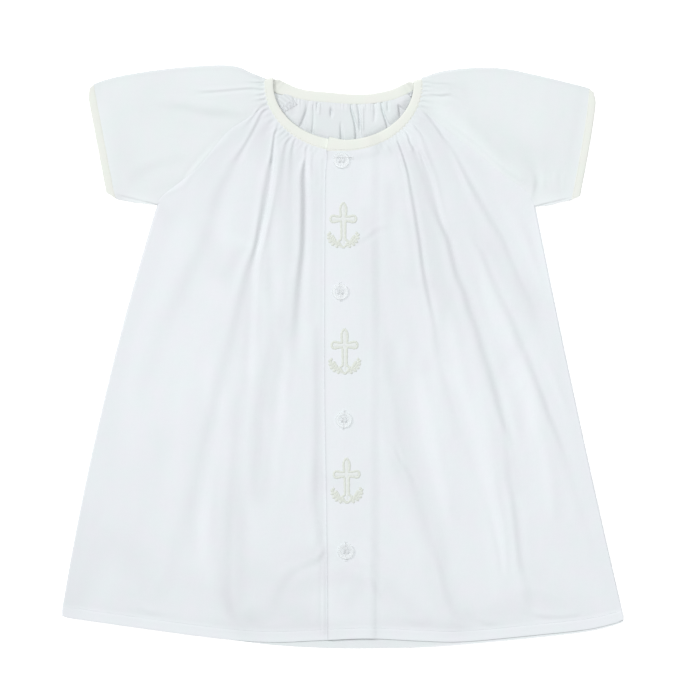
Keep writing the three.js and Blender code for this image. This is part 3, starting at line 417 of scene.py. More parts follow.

# Painted shade in the cloth's colour, mostly where the gathers crowd the cloth: lines of x, y, half
# width and the share of light lost there, which is negative where the cloth is painted lighter.
SHADES = {
    "right gathers": [
        (-60, 192, 8, 0.06), (-62, 178, 10, 0.06), (-60, 150, 9, 0.04), (-64, 140, 7, 0.02),
        (-58, 118, 7, 0.03), (-57, 100, 6, 0.015),
    ],
    "right inner": [
        (-44, 170, 9, 0.065), (-40, 155, 10, 0.08), (-36, 135, 9, 0.06), (-36, 110, 8, 0.05),
        (-38, 80, 8, 0.04), (-39, 50, 8, 0.045), (-43, 25, 9, 0.045), (-45, 5, 8, 0.025),
        (-46, -15, 6, 0.01),
    ],
    "right middle": [
        (-66, 130, 6, 0.01), (-69, 90, 6, 0.025), (-71, 60, 6, 0.04), (-75, 35, 8, 0.035),
        (-79, 5, 8, 0.02),
    ],
    "low": [
        (-80, -80, 5, 0.01), (-79, -115, 6, 0.04), (-77, -150, 8, 0.05), (-77, -185, 9, 0.05),
        (-72, -206, 9, 0.045),
    ],
    "low patch": [
        (-62, -168, 12, 0.04), (-42, -176, 13, 0.055), (-24, -174, 9, 0.04), (-8, -170, 9, 0.04),
        (12, -172, 8, 0.045), (4, -186, 8, 0.03),
    ],
    "low hem": [
        (-76, -204, 8, 0.03), (-57, -198, 10, 0.05), (-28, -203, 8, 0.05), (-5, -210, 7, 0.02),
    ],
    "left gathers": [
        (33, 160, 8, 0.055), (47, 160, 10, 0.07), (57, 146, 11, 0.075), (63, 118, 12, 0.07),
        (69, 92, 13, 0.06), (74, 65, 13, 0.055), (82, 42, 11, 0.05), (90, 20, 8, 0.02),
    ],
    "left inner": [
        (33, 112, 6, 0.01), (35, 88, 7, 0.035), (37, 55, 7, 0.035), (40, 20, 7, 0.025),
        (34, -15, 5, 0.025),
    ],
    "centre": [
        (38, 10, 5, 0.02), (44, -20, 6, 0.035), (50, -60, 6, 0.04), (58, -90, 6, 0.035),
        (70, -130, 7, 0.035), (84, -170, 7, 0.035), (94, -197, 8, 0.04),
    ],
    "left top": [
        (64, 200, 8, 0.04), (62, 184, 10, 0.085), (72, 170, 10, 0.06), (86, 140, 10, 0.03),
        (97, 110, 11, 0.035), (108, 85, 12, 0.03), (125, 65, 12, 0.035), (144, 45, 10, 0.045),
        (152, 25, 8, 0.01),
    ],
    "left low": [
        (134, -80, 5, 0.01), (136, -110, 5, 0.025), (142, -150, 6, 0.03), (146, -180, 6, 0.02),
    ],
    "lap line": [
        (-15.3, 152, 1.2, 0.05), (-15.6, 100, 1.3, 0.035), (-15.8, 30, 1.3, 0.03),
        (-15.6, -40, 1.4, 0.04), (-15, -100, 1.5, 0.05), (-14.4, -150, 3, 0.06),
        (-13.8, -180, 2, 0.05), (-13.4, -212, 2.5, 0.07),
    ],
    "right sleeve": [
        (-84, 200, 12, 0.02), (-110, 186, 14, 0.02), (-140, 195, 16, 0.015), (-170, 180, 16, 0.02),
        (-160, 140, 12, 0.02),
    ],
    "left sleeve": [
        (66, 210, 7, 0.04), (88, 206, 10, 0.04), (90, 194, 7, 0.01), (120, 172, 9, 0.025),
        (135, 158, 9, 0.035), (165, 150, 14, 0.01), (172, 132, 8, 0.035), (188, 204, 8, 0.035),
    ],
    "right foot": [
        (-196, -120, 12, 0.02), (-204, -155, 12, 0.035), (-210, -190, 12, 0.05),
        (-180, -140, 14, 0.025), (-152, -172, 16, 0.03), (-170, -190, 12, 0.015),
        (-120, -172, 12, 0.025), (-86, -194, 9, 0.03), (-96, -204, 8, 0.02),
    ],
    "left foot": [
        (35, -178, 8, 0.035), (50, -192, 9, 0.035), (70, -203, 8, 0.02), (105, -202, 9, 0.035),
        (152, -186, 11, 0.03), (180, -192, 10, 0.01), (140, -160, 6, 0.015),
    ],
    "beside deep": [
        (-24, 130, 4, 0.02), (-24, 105, 4, 0.04), (-24, 70, 4, 0.035), (-24, 30, 5, 0.02),
    ],
    "centre left": [
        (29, -20, 4, 0.02), (35, -55, 5, 0.04), (41, -82, 5, 0.05), (48, -105, 5, 0.03),
        (58, -130, 5, 0.02), (68, -160, 5, 0.025),
    ],
    "second": [
        (84, 98, 6, 0.025), (92, 68, 7, 0.035), (99, 38, 7, 0.04), (104, 8, 6, 0.035),
        (111, -20, 5, 0.02),
    ],
    "underarm light": [(150, 102, 8, -0.03), (155, 76, 8, -0.035), (160, 50, 6, -0.02)],
    "right shoulder": [
        (-74, 172, 10, 0.045), (-86, 150, 11, 0.035), (-98, 125, 12, 0.035), (-112, 108, 7, 0.02),
        (-97, 82, 8, 0.03), (-97, 62, 8, 0.035), (-76, 84, 5, 0.02),
    ],
    "right sleeve edge": [(-189, 190, 8, -0.045), (-184, 160, 8, -0.045), (-180, 140, 7, -0.03)],
    "right flank": [
        (-128, 30, 10, -0.015), (-134, 10, 14, -0.025), (-140, -10, 16, -0.025),
        (-146, -30, 18, -0.025), (-152, -48, 18, -0.025), (-156, -62, 12, -0.01),
    ],
    "left of lap": [
        (-20, 20, 5, 0.03), (-19, 0, 6, 0.04), (-21, -20, 6, 0.03), (-22, -45, 6, 0.03),
        (-23, -70, 5, 0.02), (-20, -92, 6, 0.04), (-24, -115, 5, 0.025), (-25, -135, 5, 0.01),
    ],
    "foot of lap": [
        (-36, -154, 8, 0.02), (-22, -154, 8, 0.05), (-8, -152, 6, 0.03), (-2, -158, 5, 0),
    ],
    "left flank folds": [
        (68, -15, 5, -0.02), (71, -40, 6, -0.035), (76, -70, 6, -0.035), (82, -100, 5, -0.03),
        (86, -116, 4, -0.01),
    ],
    "left side line": [
        (134, 38, 6, 0.02), (142, 22, 6, 0.02), (120, -15, 4, 0.02), (126, -45, 4, 0.035),
        (131, -75, 4, 0.04), (134, -100, 4, 0.03), (122, -20, 4, 0.01),
    ],
    "left side bright": [
        (136, -22, 5, -0.02), (145, -14, 5, -0.03), (144, -70, 5, -0.025), (148, -95, 5, -0.025),
        (151, -118, 4, -0.015),
    ],
    "upper left band": [
        (38, 128, 6, 0.03), (41, 112, 6, 0.035), (52, 95, 7, 0.02), (53, 60, 7, 0.035),
        (66, 56, 6, 0.03), (58, 46, 8, 0.02), (56, 20, 6, 0.02), (58, -10, 6, 0.025),
    ],
    "right sleeve low": [
        (-96, 180, 7, 0.02), (-84, 180, 7, 0.02), (-126, 112, 9, 0.02), (-138, 113, 6, 0.03),
    ],
    "left shoulder": [
        (96, 158, 7, 0.02), (104, 146, 8, 0.03), (106, 132, 7, 0.02), (120, 100, 8, 0.02),
        (119, 82, 8, 0.03), (122, 70, 7, 0.01),
    ],
    "left light": [
        (78, 182, 6, -0.03), (90, 175, 7, -0.03), (116, 152, 6, -0.03), (134, 138, 5, -0.02),
    ],
    "low fold light": [
        (-88, -62, 5, -0.02), (-89, -82, 6, -0.045), (-91, -100, 6, -0.035), (-92, -125, 4, -0.02),
        (-91, -150, 4, -0.02), (-90, -175, 4, -0.01),
    ],
    "back of hem": [
        (-40, -194, 8, -0.02), (-60, -209, 7, 0.02), (10, -209, 7, 0.01), (40, -205, 9, 0.02),
        (90, -211, 6, 0.02),
    ],
    "inner light": [
        (24, 80, 4, -0.02), (26, 55, 4, -0.025), (28, 35, 4, -0.03), (32, -5, 4, -0.015),
        (38, -45, 4, -0.03), (42, -68, 5, -0.03), (48, -85, 4, -0.01),
    ],
    "left fold light": [
        (66, 10, 5, -0.01), (72, 0, 5, -0.02), (100, -40, 8, -0.02), (106, -95, 7, -0.025),
        (114, -130, 6, -0.03), (118, -180, 6, -0.015),
    ],
    "left far light": [
        (110, 75, 5, -0.02), (130, 20, 6, -0.025), (140, 0, 6, -0.03), (128, -15, 6, -0.02),
        (128, -75, 5, -0.03), (132, -120, 4, -0.03), (134, -140, 4, -0.02), (141, -175, 5, -0.03),
    ],
    "left foot dark": [
        (64, -160, 5, 0.02), (70, -175, 6, 0.04), (76, -190, 5, 0.025), (78, -130, 5, 0.015),
    ],
    "right light": [
        (-102, 60, 6, -0.01), (-94, 52, 6, -0.03), (-100, 20, 6, -0.015), (-104, -12, 8, -0.03),
        (-102, -32, 6, -0.03), (-108, -60, 5, -0.02), (-114, -90, 6, -0.03),
        (-116, -104, 4, -0.015),
    ],
    "middle right light": [
        (-86, 92, 6, -0.02), (-68, 84, 4, -0.03), (-72, 74, 4, -0.01), (-39, -10, 4, -0.02),
        (-41, -40, 5, -0.03), (-42, -80, 5, -0.025), (-46, -100, 4, -0.01), (-60, -45, 4, -0.02),
    ],
    "middle right dark": [
        (-47, 30, 5, 0.02), (-48, 0, 5, 0.025), (-52, -30, 5, 0.03), (-53, -60, 5, 0.03),
        (-56, -85, 6, 0.03), (-66, -105, 7, 0.04), (-72, -20, 6, 0.02), (-74, -60, 6, 0.015),
    ],
    "lap plain": [
        (-8, 135, 6, -0.005), (-10, 90, 6, -0.005), (-9, 30, 6, -0.01), (-4, -22, 7, -0.01),
        (-6, -66, 6, -0.01), (-8, -120, 6, -0.01), (-9, -168, 6, -0.02), (-9, -206, 6, -0.015),
        (25, -120, 4, -0.01), (24, -80, 4, -0.005),
    ],
    "placket right": [
        (18, 112, 5, 0.03), (17, 80, 7, 0.05), (18, 50, 6, 0.035), (18, 20, 5, 0.03),
        (20, 2, 5, 0.01),
    ],
    "low right": [
        (-96, -45, 5, 0.02), (-100, -70, 6, 0.035), (-106, -100, 6, 0.03), (-108, -125, 4, 0.01),
    ],
    "right of deep": [
        (-44, 150, 5, 0.02), (-48, 132, 7, 0.04), (-42, 100, 5, 0.02), (-38, 75, 4, 0.02),
    ],
    "neck front": [
        (-30, 164, 5, 0.03), (-14, 158, 4, 0.035), (4, 157, 4, 0.03), (20, 155, 4, 0.02),
    ],
    "left sleeve edge": [(192, 195, 7, -0.02), (190, 165, 8, -0.035), (184, 135, 7, -0.035)],
    "sleeve feet": [(-168, 122, 6, -0.01), (-155, 119, 6, -0.05), (-146, 118, 5, -0.02)],
    "left sleeve foot": [(152, 118, 6, -0.03), (162, 119, 6, -0.04), (176, 122, 5, -0.01)],
    "above motifs": [(-8, -96, 8, 0.03), (8, -97, 8, 0.03)],
    "left foot line": [
        (60, -110, 4, -0.02), (66, -132, 5, -0.03), (72, -155, 5, -0.03), (80, -178, 5, -0.02),
    ],
    "left underarm": [
        (138, 154, 4, 0.015), (143, 144, 5, 0.04), (146, 134, 5, 0.035), (147, 123, 4, 0.02),
    ],
}

# Gathers of the back panel that show through the neck, as plain grooves and ridges.
BACK_FOLDS = {
    "left pleat": [
        (-26, 197.5, 1.2, -0.3), (-27, 190, 1.4, -0.8), (-28.7, 184, 1.6, -1.3),
        (-31, 176, 2, -1.6),
    ],
    "thin": [(-22, 194, 0.8, -0.5), (-21.7, 185, 0.9, -0.4), (-22.8, 170, 1.2, -1)],
    "nick": [(-18.8, 195.5, 0.8, -0.9), (-19.2, 190, 0.8, -0.3)],
    "right hollow": [(-31, 190, 4, 0.2), (-29, 180, 4, -0.3), (-27, 172, 4, -0.6)],
    "nick ridge": [(-17.2, 195, 0.8, 0.4), (-17.6, 188, 0.9, 0.3)],
    "drop": [(-8.2, 192.5, 0.9, -0.4), (-8, 189, 1.1, -1.3), (-8.3, 185, 1, -0.3)],
    "middle": [(-0.7, 180, 1, -0.3), (-0.4, 174, 1.1, -0.9), (0, 167, 1.2, -1.2)],
    "vee a": [
        (7, 195.5, 0.7, -1), (7.3, 190.5, 0.8, -1.2), (9.6, 183, 0.9, -1.5), (11.3, 175, 1.3, -1.8),
        (12, 167, 1.6, -1.8),
    ],
    "vee b": [
        (12.3, 195, 1, -0.5), (13.3, 190, 1.1, -1.2), (13.6, 184, 0.9, -1), (13.9, 176, 0.9, -1.6),
        (14.3, 167, 1.3, -1.8),
    ],
    "vee ridge": [(15.8, 192, 1, 0.4), (16, 176, 1, 0.4)],
    "soft": [(25, 196, 1.4, -0.6), (25.6, 189, 1.4, -0.7), (25, 182, 1.3, -0.3)],
    "right pleat": [
        (30.5, 196, 0.8, -0.8), (31.4, 190, 0.8, -1), (33.8, 183, 1, -1.3), (37, 176, 1.6, -1.8),
    ],
    "blot": [(35.4, 195.5, 1.2, -0.6), (35.7, 190.5, 1.1, -0.5)],
    "corner": [
        (43.8, 193.5, 1, -0.8), (45.6, 190, 1.7, -2), (47.6, 186, 2.2, -2.4), (49, 183, 2.4, -2),
    ],
    "left soft": [(-36, 198, 3, -0.2), (-37, 188, 3, -0.4)],
}

# ---- Heights of the layers ----------------------------------------------------------------------

BACK_TOP = 0.5  # upper face of the back, where it is flat
FRONT_TOP = 2.0  # upper face of the front, where it is flat
HEM_TOP = 1.75  # upper face of the front hem
SIDE_TOP = 1.3  # upper face of the front at the side seams
CUFF_TOP = 2.7  # upper face of a sleeve's binding
NECK_EDGE = 3.75  # height at which the cloth goes into the front neck binding
MOUND = 1.2  # how far the gathered back neck lifts the front neck
CALM = 0.9  # lift of the plain button band
EDGE_SHARE = 0.35  # how much of the folds is left at the hem and beside a sleeve's binding
LAP_STEP = 1.15  # how far the overlap lies above the underlap
LAP_AT_NECK = 1.8  # and where its binding lies on the underlap's

# ---- Seams, hems and bindings -------------------------------------------------------------------

CUFF_WIDTH = 6.6  # width of the finished bindings
BINDING_THICK = 1.5  # the neck binding through all its layers
CUFF_THICK = 1.3  # and a sleeve's
NECK_TUCK = 1.2  # how far cloth reaches into a neck binding
SEAM_TUCK = 0.45  # how far both pieces reach past a raglan seam
SEAM_DIP = 0.45  # how far each sinks at its edge there
DIP_REACH = 0.8  # and over what distance
BACK_GAP = 0.15  # how far short of the seam both stop on the back
FACING_END = 26.4  # where the facing behind the overlap ends
ALLOWANCE_OVER = 3.5  # how far a seam's allowance lies over the sleeve
ALLOWANCE_LIFT = 0.15  # the gap under it
ALLOWANCE_THICK = 0.3
OVERCAST_LIFT = 0.42  # height above its underside of the thread sewn over its edge
HEM_LAYER = 0.22  # how much the hem's turned-up layer adds on the fronts
BACK_HEM_LAYER = 0.2  # and on the back
HEM_GROOVE = 0.25  # depth of the groove that its stitches draw in
STITCH_INSET = 1.2  # how far the groove and its stitches lie below the hem's upper edge
GATHER_PITCH = 3.7  # from one gather to the next along the front neck
BACK_GATHER_PITCH = 3.3  # and along the back neck
STITCH_LENGTH = 1.7
STITCH_RADIUS = 0.13
STITCH_SHAPE = np.array([0.35, 0.9, 1, 0.9, 0.35])  # a stitch's thickness from end to end

# ---- Light and folds ----------------------------------------------------------------------------

LAYER_LIGHT = 0.03  # how much lighter the cloth looks where it lies double
SHADE = (0.87, -0.49)  # the way in plan that faces away from the light
FOLD_HEIGHT = 0.40  # what the heights of sided folds are multiplied by
FOLD_WIDTH = 1.4  # and their widths
SIDED_PEAK = 2.33  # brings the highest point of a sided fold to its stated height
BACK_FOLD_HEIGHT = 1.5  # what the heights of the back's folds are multiplied by
RUMPLE_WAVES = 7
TINY = 1e-9

# ---- Curves and surfaces ------------------------------------------------------------------------


def smooth(low, high, value):
    """0 below low, 1 above high, and a cubic ease between them."""
    t = np.clip((np.asarray(value, float) - low) / (high - low), 0, 1)
    return t * t * (3 - 2 * t)


def bell(value, width):
    """e to the minus square of value over width."""
    return np.exp(-((value / width) ** 2))


def fade(distance, reach):
    """1 up to distance 0, and from there on e to the minus distance over reach."""
    return np.exp(-np.maximum(distance, 0) / reach)


def mix(a, b, t):
    """The straight line from a to b at t."""
    return a + (b - a) * t


def unit(vectors):
    """The vectors along the last axis, each made one long."""
    return vectors / np.maximum(np.linalg.norm(vectors, axis=-1, keepdims=True), TINY)


def turns(count):
    """Angles of evenly spaced points round a circle."""
    return np.linspace(0, 2 * np.pi, count, endpoint=False)


def paired(x, y):
    """Places across and up as points."""
    return np.stack([x, y], axis=-1)


def spacing(points, axis):
    """Distance along a grid's rows or columns from its first line."""
    step = np.linalg.norm(np.diff(points, axis=axis), axis=2)
    start = np.zeros_like(np.take(step, [0], axis=axis))
    return np.concatenate([start, np.cumsum(step, axis=axis)], axis=axis)


def length_along(points):
    """Distance along a line of points from its first one."""
    return spacing(np.asarray(points, float)[None], 1)[0]


def spline(rows, t):
    """A uniform Catmull-Rom spline through the rows, at t from 0 to 1."""
    rows = np.asarray(rows, float)
    ends = np.vstack([rows[:1], rows, rows[-1:]])
    place = np.clip(np.asarray(t, float), 0, 1) * (len(rows) - 1)
    k = np.minimum(place.astype(int), len(rows) - 2)
    s = (place - k)[..., None]
    a, b, c, d = (ends[k + i] for i in range(4))
    square, cube = 2 * a - 5 * b + 4 * c - d, 3 * b - a - 3 * c + d
    return 0.5 * (2 * b + (c - a) * s + square * s**2 + cube * s**3)


def even(rows):
    """The same spline as a function of 0 to 1 along its length."""
    dense = np.linspace(0, 1, 600)
    along = length_along(spline(rows, dense))
    return lambda t: spline(rows, np.interp(np.asarray(t, float) * along[-1], along, dense))


def xy(columns, x, y):
    """Two columns of a table as rows of points."""
    return paired(columns[x], columns[y])


def hem_y(column, x):
    """The hem's height in plan at x: a spline through one column of the hem table."""
    points = spline(xy(HEM, "x", column), np.linspace(0, 1, 400))
    return np.interp(x, points[:, 0], points[:, 1])


def neck_point(edge, angle, outwards=0.0):
    """A point of the front neck's ellipse, at degrees from the left shoulder."""
    a = np.radians(np.asarray(angle, float))
    x = NECK["x"] + (NECK[edge + "_x"] + outwards) * np.cos(a)
    y = NECK["y"] - (NECK[edge + "_y"] + outwards) * np.sin(a)
    return paired(x, y)


def neck_angle(x):
    """The angle at which the vertical line at x meets the neck's seam edge."""
    return math.degrees(math.acos((x - NECK["x"]) / NECK["seam_x"]))


def from_neck(x, y):
    """Distance outside the front neck's seam edge."""
    size = np.hypot((x - NECK["x"]) / NECK["seam_x"], (NECK["y"] - y) / NECK["seam_y"])
    return (size - 1) * (NECK["seam_x"] + NECK["seam_y"]) / 2


def side_x(side, y):
    """The side seam's place at y: a line from underarm to hem corner with a sideways bow."""
    hem = hem_y("front", side["corner_x"])
    t = np.clip((side["underarm"][1] - y) / (side["underarm"][1] - hem), 0, 1)
    line = mix(side["underarm"][0], side["corner_x"], t)
    return line + side["sign"] * side["side_bow"] * 4 * t * (1 - t)


def edge_distance(side, x, y):
    """Distance in from the side seam, or from the sleeve's underside beyond the underarm."""
    ux, uy = side["underarm"]
    end = side["underside"][-1]
    inwards = (side_x(side, y) - x) * side["sign"]
    floor = uy + (x - ux) * (end[1] - uy) / (end[0] - ux)
    above = np.where((x - ux) * side["sign"] > 0, y - floor, np.hypot(x - ux, y - uy))
    return np.maximum(np.where(y < uy, inwards, above), 0)


def fold_field(x, y, folds, sided):
    """All folds added up, each along a spline with its own width and rise there.

    A plain fold is a bell of the distance from its line. A sided one is that bell times the signed
    distance: a step across its line which runs out on both sides, down away from the light where
    its rise is negative and up where it is positive.
    """
    total = np.zeros(np.shape(x))
    flat_x, flat_y, flat = np.ravel(x), np.ravel(y), total.reshape(-1)
    for rows in folds.values():
        count = 6 * len(rows)
        line = spline(rows, np.linspace(0, 1, count))
        line[:, 2] *= FOLD_WIDTH if sided else 1.0
        reach = 3.0 * line[:, 2].max()
        near = (flat_x > line[:, 0].min() - reach) & (flat_x < line[:, 0].max() + reach)
        near &= (flat_y > line[:, 1].min() - reach) & (flat_y < line[:, 1].max() + reach)
        if not near.any():
            continue
        px, py = flat_x[near], flat_y[near]
        dx, dy = px[:, None] - line[:-1, 0], py[:, None] - line[:-1, 1]
        step = np.diff(line[:, :2], axis=0)
        length = np.hypot(*step.T)
        t = np.clip((dx * step[:, 0] + dy * step[:, 1]) / length**2, 0, 1)
        away = np.hypot(dx - t * step[:, 0], dy - t * step[:, 1])
        best = np.argmin(away, axis=1)
        pick = np.arange(len(px))
        t, away = t[pick, best], away[pick, best]
        wide, rise = (mix(line[best, k], line[best + 1, k], t) for k in (2, 3))
        if sided:
            aside = ((step[:, 0] * dy - step[:, 1] * dx) / length)[pick, best]
            run = line[-1] - line[0]
            aside *= 1 if SHADE[1] * run[0] - SHADE[0] * run[1] > 0 else -1
            rise = FOLD_HEIGHT * SIDED_PEAK * rise * aside / wide
        flat[near] += rise * bell(away, wide)
    return total


def rumple(x, y, length, seed, stretch):
    """Soft unevenness of cloth: sine waves of nearby lengths in seeded directions, added up.

    stretch makes them longer up and down than across.
    """
    rng = np.random.default_rng(seed)
    total = np.zeros_like(x)
    for _ in range(RUMPLE_WAVES):
        turn, phase, scale = rng.uniform(0, np.pi), rng.uniform(0, 2 * np.pi), rng.uniform(0.7, 1.5)
        run = x * np.cos(turn) + y * np.sin(turn) / stretch
        total += np.sin(2 * np.pi * run / (length * scale) + phase)
    return total / RUMPLE_WAVES


def lap_x(y):
    """The overlap's free edge at y."""
    points = spline(LAP, np.linspace(0, 1, 200))
    return np.interp(-np.asarray(y, float), -points[:, 1], points[:, 0])


def gathered_shade(x, y):
    """The painted shade: share of light lost where the gathers crowd the cloth, soft bands along
    lines.
    """
    return fold_field(x, y, SHADES, False)


def gather_wave(angle):
    """Uneven waves along the front neck at an angle in radians, none beside the buttons.

    They are a sine of the distance along the neck, pushed to and fro and made stronger and weaker
    by two slower sines.
    """
    along = angle * (NECK["seam_x"] + NECK["seam_y"]) / 2
    height = 0.7 + 0.3 * np.sin(along / 5.1)
    waves = np.sin(2 * np.pi * along / GATHER_PITCH + 1.7 * np.sin(along / 7)) * height
    from_buttons = np.abs(NECK["x"] + NECK["seam_x"] * np.cos(angle) - 4)
    return 0.3 * waves * smooth(20, 32, from_buttons)


def pucker(x, y):
    """Small gathers right under the front binding: the waves along it, fading outwards."""
    angle = np.arctan2(NECK["y"] - y, x - NECK["x"])
    return 1.25 * gather_wave(angle) * bell(np.maximum(from_neck(x, y), 0), 6.5)


def back_pucker(x, below):
    """Fine uneven gathers under the back binding: waves across it, fading downwards.

    They are two sines of nearby pitch, each pushed to and fro by a slower one.
    """
    waves = np.sin(2 * np.pi * x / BACK_GATHER_PITCH + 1.9 * np.sin(x / 6.1))
    waves = waves + 0.6 * np.sin(2 * np.pi * x / 2.1 + np.sin(x / 3.7))
    height = 0.17 * waves * (0.6 + 0.4 * np.sin(x / 7.3))
    return height * bell(np.maximum(below, 0), 5.5) * (1 - smooth(36, 46, np.abs(x)))


def fullness(away):
    """The cloth's usual lift at a distance from the front neck: most a little below the gathers."""
    return 0.9 + 1.3 * bell(away - 30, 70) - 1.0 * bell(away, 14)


def segment_distance(x, y, a, b):
    """Distance from the straight line between two points."""
    step = b - a
    t = np.clip(((x - a[0]) * step[0] + (y - a[1]) * step[1]) / (step @ step), 0, 1)
    return np.hypot(x - a[0] - t * step[0], y - a[1] - t * step[1])


def front_surface(side, x, y):
    """The upper face of one layer of the front, the same on both sides of every seam.

    It is a base height and the neck's mound, with fullness, folds and unevenness that fade out
    towards the sides, the hem and the sleeve's end, and leave the button band plain. No lift is
    below zero: a smooth curve takes the lowest to nothing.
    """
    from_seam = from_neck(x, y)
    away = np.maximum(from_seam, 0)
    up = y - hem_y("front", x)
    inwards = edge_distance(side, x, y)
    from_cuff = segment_distance(x, y, side["fold"][-1], side["underside"][-1])
    inner = mix(HEM_TOP, FRONT_TOP, smooth(0, 30, up))
    base = mix(SIDE_TOP, inner, smooth(0, 0.9, inwards) ** 0.5)
    at_cuff = mix(EDGE_SHARE * smooth(6, 14, from_cuff), 1.0, smooth(10, 40, from_cuff))
    share = mix(EDGE_SHARE, 1.0, smooth(0, 16, up)) * at_cuff
    lap = x - lap_x(y)
    band = smooth(-13, -1, lap) * (1 - smooth(12, 34, x))  # calm cloth round the buttons
    plain = smooth(-3, 0, lap) * (1 - smooth(2, 9, x))  # and its middle, without folds
    full = fullness(away) * smooth(-4, 60, inwards)
    folds = fold_field(x, y, FOLDS, True) * smooth(0, 14, inwards)
    lift = mix(full, CALM, band) + (1 - plain) * folds
    lift = lift + 0.2 * rumple(x, y, 46, 3, 3.0) + 0.07 * rumple(x, y, 13, 5, 2.0)
    lift = (lift + np.hypot(lift, 0.4)) / 2
    z = base + MOUND * bell(away, 36) + share * smooth(-2, 12, inwards) * lift
    z = mix(CUFF_TOP - 0.15, z, smooth(CUFF_WIDTH - 1, CUFF_WIDTH + 9, from_cuff))
    gathers = pucker(x, y) * smooth(-0.5, 1.5, from_seam)
    return mix(NECK_EDGE, z, smooth(-1.0, 6.0, from_seam)) + gathers


def coons(top, bottom, left, right, u, v):
    """The plane patch inside four curves: both blends of facing curves, less that of the corners.

    left and right are eased so that they meet the other two at the corners.
    """
    u, v = u[None, :, None], v[:, None, None]
    zero, one = np.array([0.0]), np.array([1.0])
    c00, c10, c01, c11 = top(zero), top(one), bottom(zero), bottom(one)
    first, last = left(v[:, 0, 0]), right(v[:, 0, 0])
    first = first + mix(c00 - left(zero), c01 - left(one), v[:, 0])
    last = last + mix(c10 - right(zero), c11 - right(one), v[:, 0])
    across = mix(top(u[0, :, 0])[None], bottom(u[0, :, 0])[None], v)
    down = mix(first[:, None], last[:, None], u)
    return across + down - mix(mix(c00, c10, u), mix(c01, c11, u), v)


def joined(first, second, share):
    """One curve after another, the first taking the given share of the way."""

    def curve(t):
        t = np.asarray(t, float)
        a, b = first(np.clip(t / share, 0, 1)), second(np.clip((t - share) / (1 - share), 0, 1))
        return np.where((t < share)[..., None], a, b)

    return curve


def straight(a, b):
    """The straight line between two points."""
    return lambda t: mix(a, b, np.asarray(t, float)[..., None])


def hem_edge(column, start, end):
    """The hem as a curve between two places across."""

    def curve(t):
        x = mix(start, end, t)
        return paired(x, hem_y(column, x))

    return curve


def side_edge(side, column):
    """The side seam as a curve from the underarm down to the hem."""

    def curve(t):
        y = mix(side["underarm"][1], hem_y(column, side["corner_x"]), t)
        return paired(side_x(side, y), y)

    return curve


def back_neck(edge, tuck=0.0):
    """An edge of the back neck, from the right shoulder to the left, moved into the binding."""
    rows = xy(BACK_NECK, edge + "_x", edge + "_y")
    if tuck:
        rows = rows + tuck * unit(xy(BACK_NECK, "hole_x", "hole_y") - rows)
    return lambda t: spline(rows, t)


def tucked_neck(start, end):
    """The front neck's seam edge as a curve between two angles, reaching into the binding."""
    return lambda t: neck_point("seam", mix(start, end, t), -NECK_TUCK)


def tucked_back_neck(start, end):
    """The back neck's seam edge between two shares of its length, reaching into the binding."""
    return lambda t: back_neck("seam", NECK_TUCK)(mix(start, end, t))


def raglan(side, half, beyond):
    """A raglan seam from the neck to the underarm, moved towards the sleeve by a distance."""
    if half == "front":
        start = neck_point("seam", side["neck_angle"], -NECK_TUCK)
    else:
        start = back_neck("seam", NECK_TUCK)(BACK_CORNERS[side["name"]])
    seam = even(np.vstack([start, side[half + "_raglan"]]))

    def curve(t):
        t = np.asarray(t, float)
        along = unit(seam(np.minimum(t + 0.01, 1)) - seam(np.maximum(t - 0.01, 0)))
        return seam(t) + side["sign"] * beyond * paired(-along[..., 1], along[..., 0])

    return curve


def graded(*spans):
    """Numbers from 0 to 1 in stretches, each given as its end and its count of steps."""
    parts, start = [np.array([0.0])], 0.0
    for end, count in spans:
        parts.append(np.linspace(start, end, count + 1)[1:])
        start = end
    return np.concatenate(parts)


# ---- Meshes -------------------------------------------------------------------------------------


def grid_quads(rows, columns, offset=0, closed=False):
    """The quads of a grid of points, its last column joined to its first if it is closed."""
    index = np.arange(rows * columns).reshape(rows, columns) + offset
    if closed:
        index = np.hstack([index, index[:, :1]])
    a, b, c, d = index[:-1, :-1], index[1:, :-1], index[1:, 1:], index[:-1, 1:]
    return np.stack([a, b, c, d], axis=-1).reshape(-1, 4)


def facing_out(points, quads):
    """The quads, turned round if the closed surface holds less than nothing."""
    a, b, c, d = (points[quads[:, k]] for k in range(4))
    volume = np.einsum("ij,ij->", a, np.cross(b, c)) + np.einsum("ij,ij->", a, np.cross(c, d))
    return quads if volume > 0 else quads[:, ::-1]


def shell(upper, lower):
    """A closed wall: two grids of points and strips round their four edges."""
    rows, columns = upper.shape[:2]
    points = np.concatenate([upper.reshape(-1, 3), lower.reshape(-1, 3)])
    index = np.arange(rows * columns).reshape(rows, columns)
    rim = np.concatenate([index[0, :], index[1:, -1], index[-1, -2::-1], index[-2:0:-1, 0]])
    after = np.roll(rim, -1)
    under = rows * columns
    faces = grid_quads(rows, columns), grid_quads(rows, columns, under)[:, ::-1]
    edges = np.stack([rim, rim + under, after + under, after], axis=1)[:, ::-1]
    return points, facing_out(points, np.concatenate([*faces, edges]))


def wall(plan, upper, lower):
    """A closed wall over a grid of plan points, between its upper and lower heights."""
    return shell(np.dstack([plan, upper]), np.dstack([plan, lower]))


def ring(loops):
    """A closed tube from loops of points (stations, round, 3), with a fan of quads over each end.

    There is an even number of points round it.
    """
    stations, around = loops.shape[:2]
    points = np.concatenate([loops.reshape(-1, 3), loops[[0, -1]].mean(axis=1)])
    k = np.arange(0, around, 2)
    fan = np.stack([k, k + 1, (k + 2) % around], axis=1)
    first, last = (np.full_like(k, stations * around + i) for i in (0, 1))
    caps = [
        np.column_stack([first, fan]),
        np.column_stack([last, fan[:, ::-1] + (stations - 1) * around]),
    ]
    quads = np.concatenate([grid_quads(stations, around, closed=True), *caps])
    return points, facing_out(points, quads)


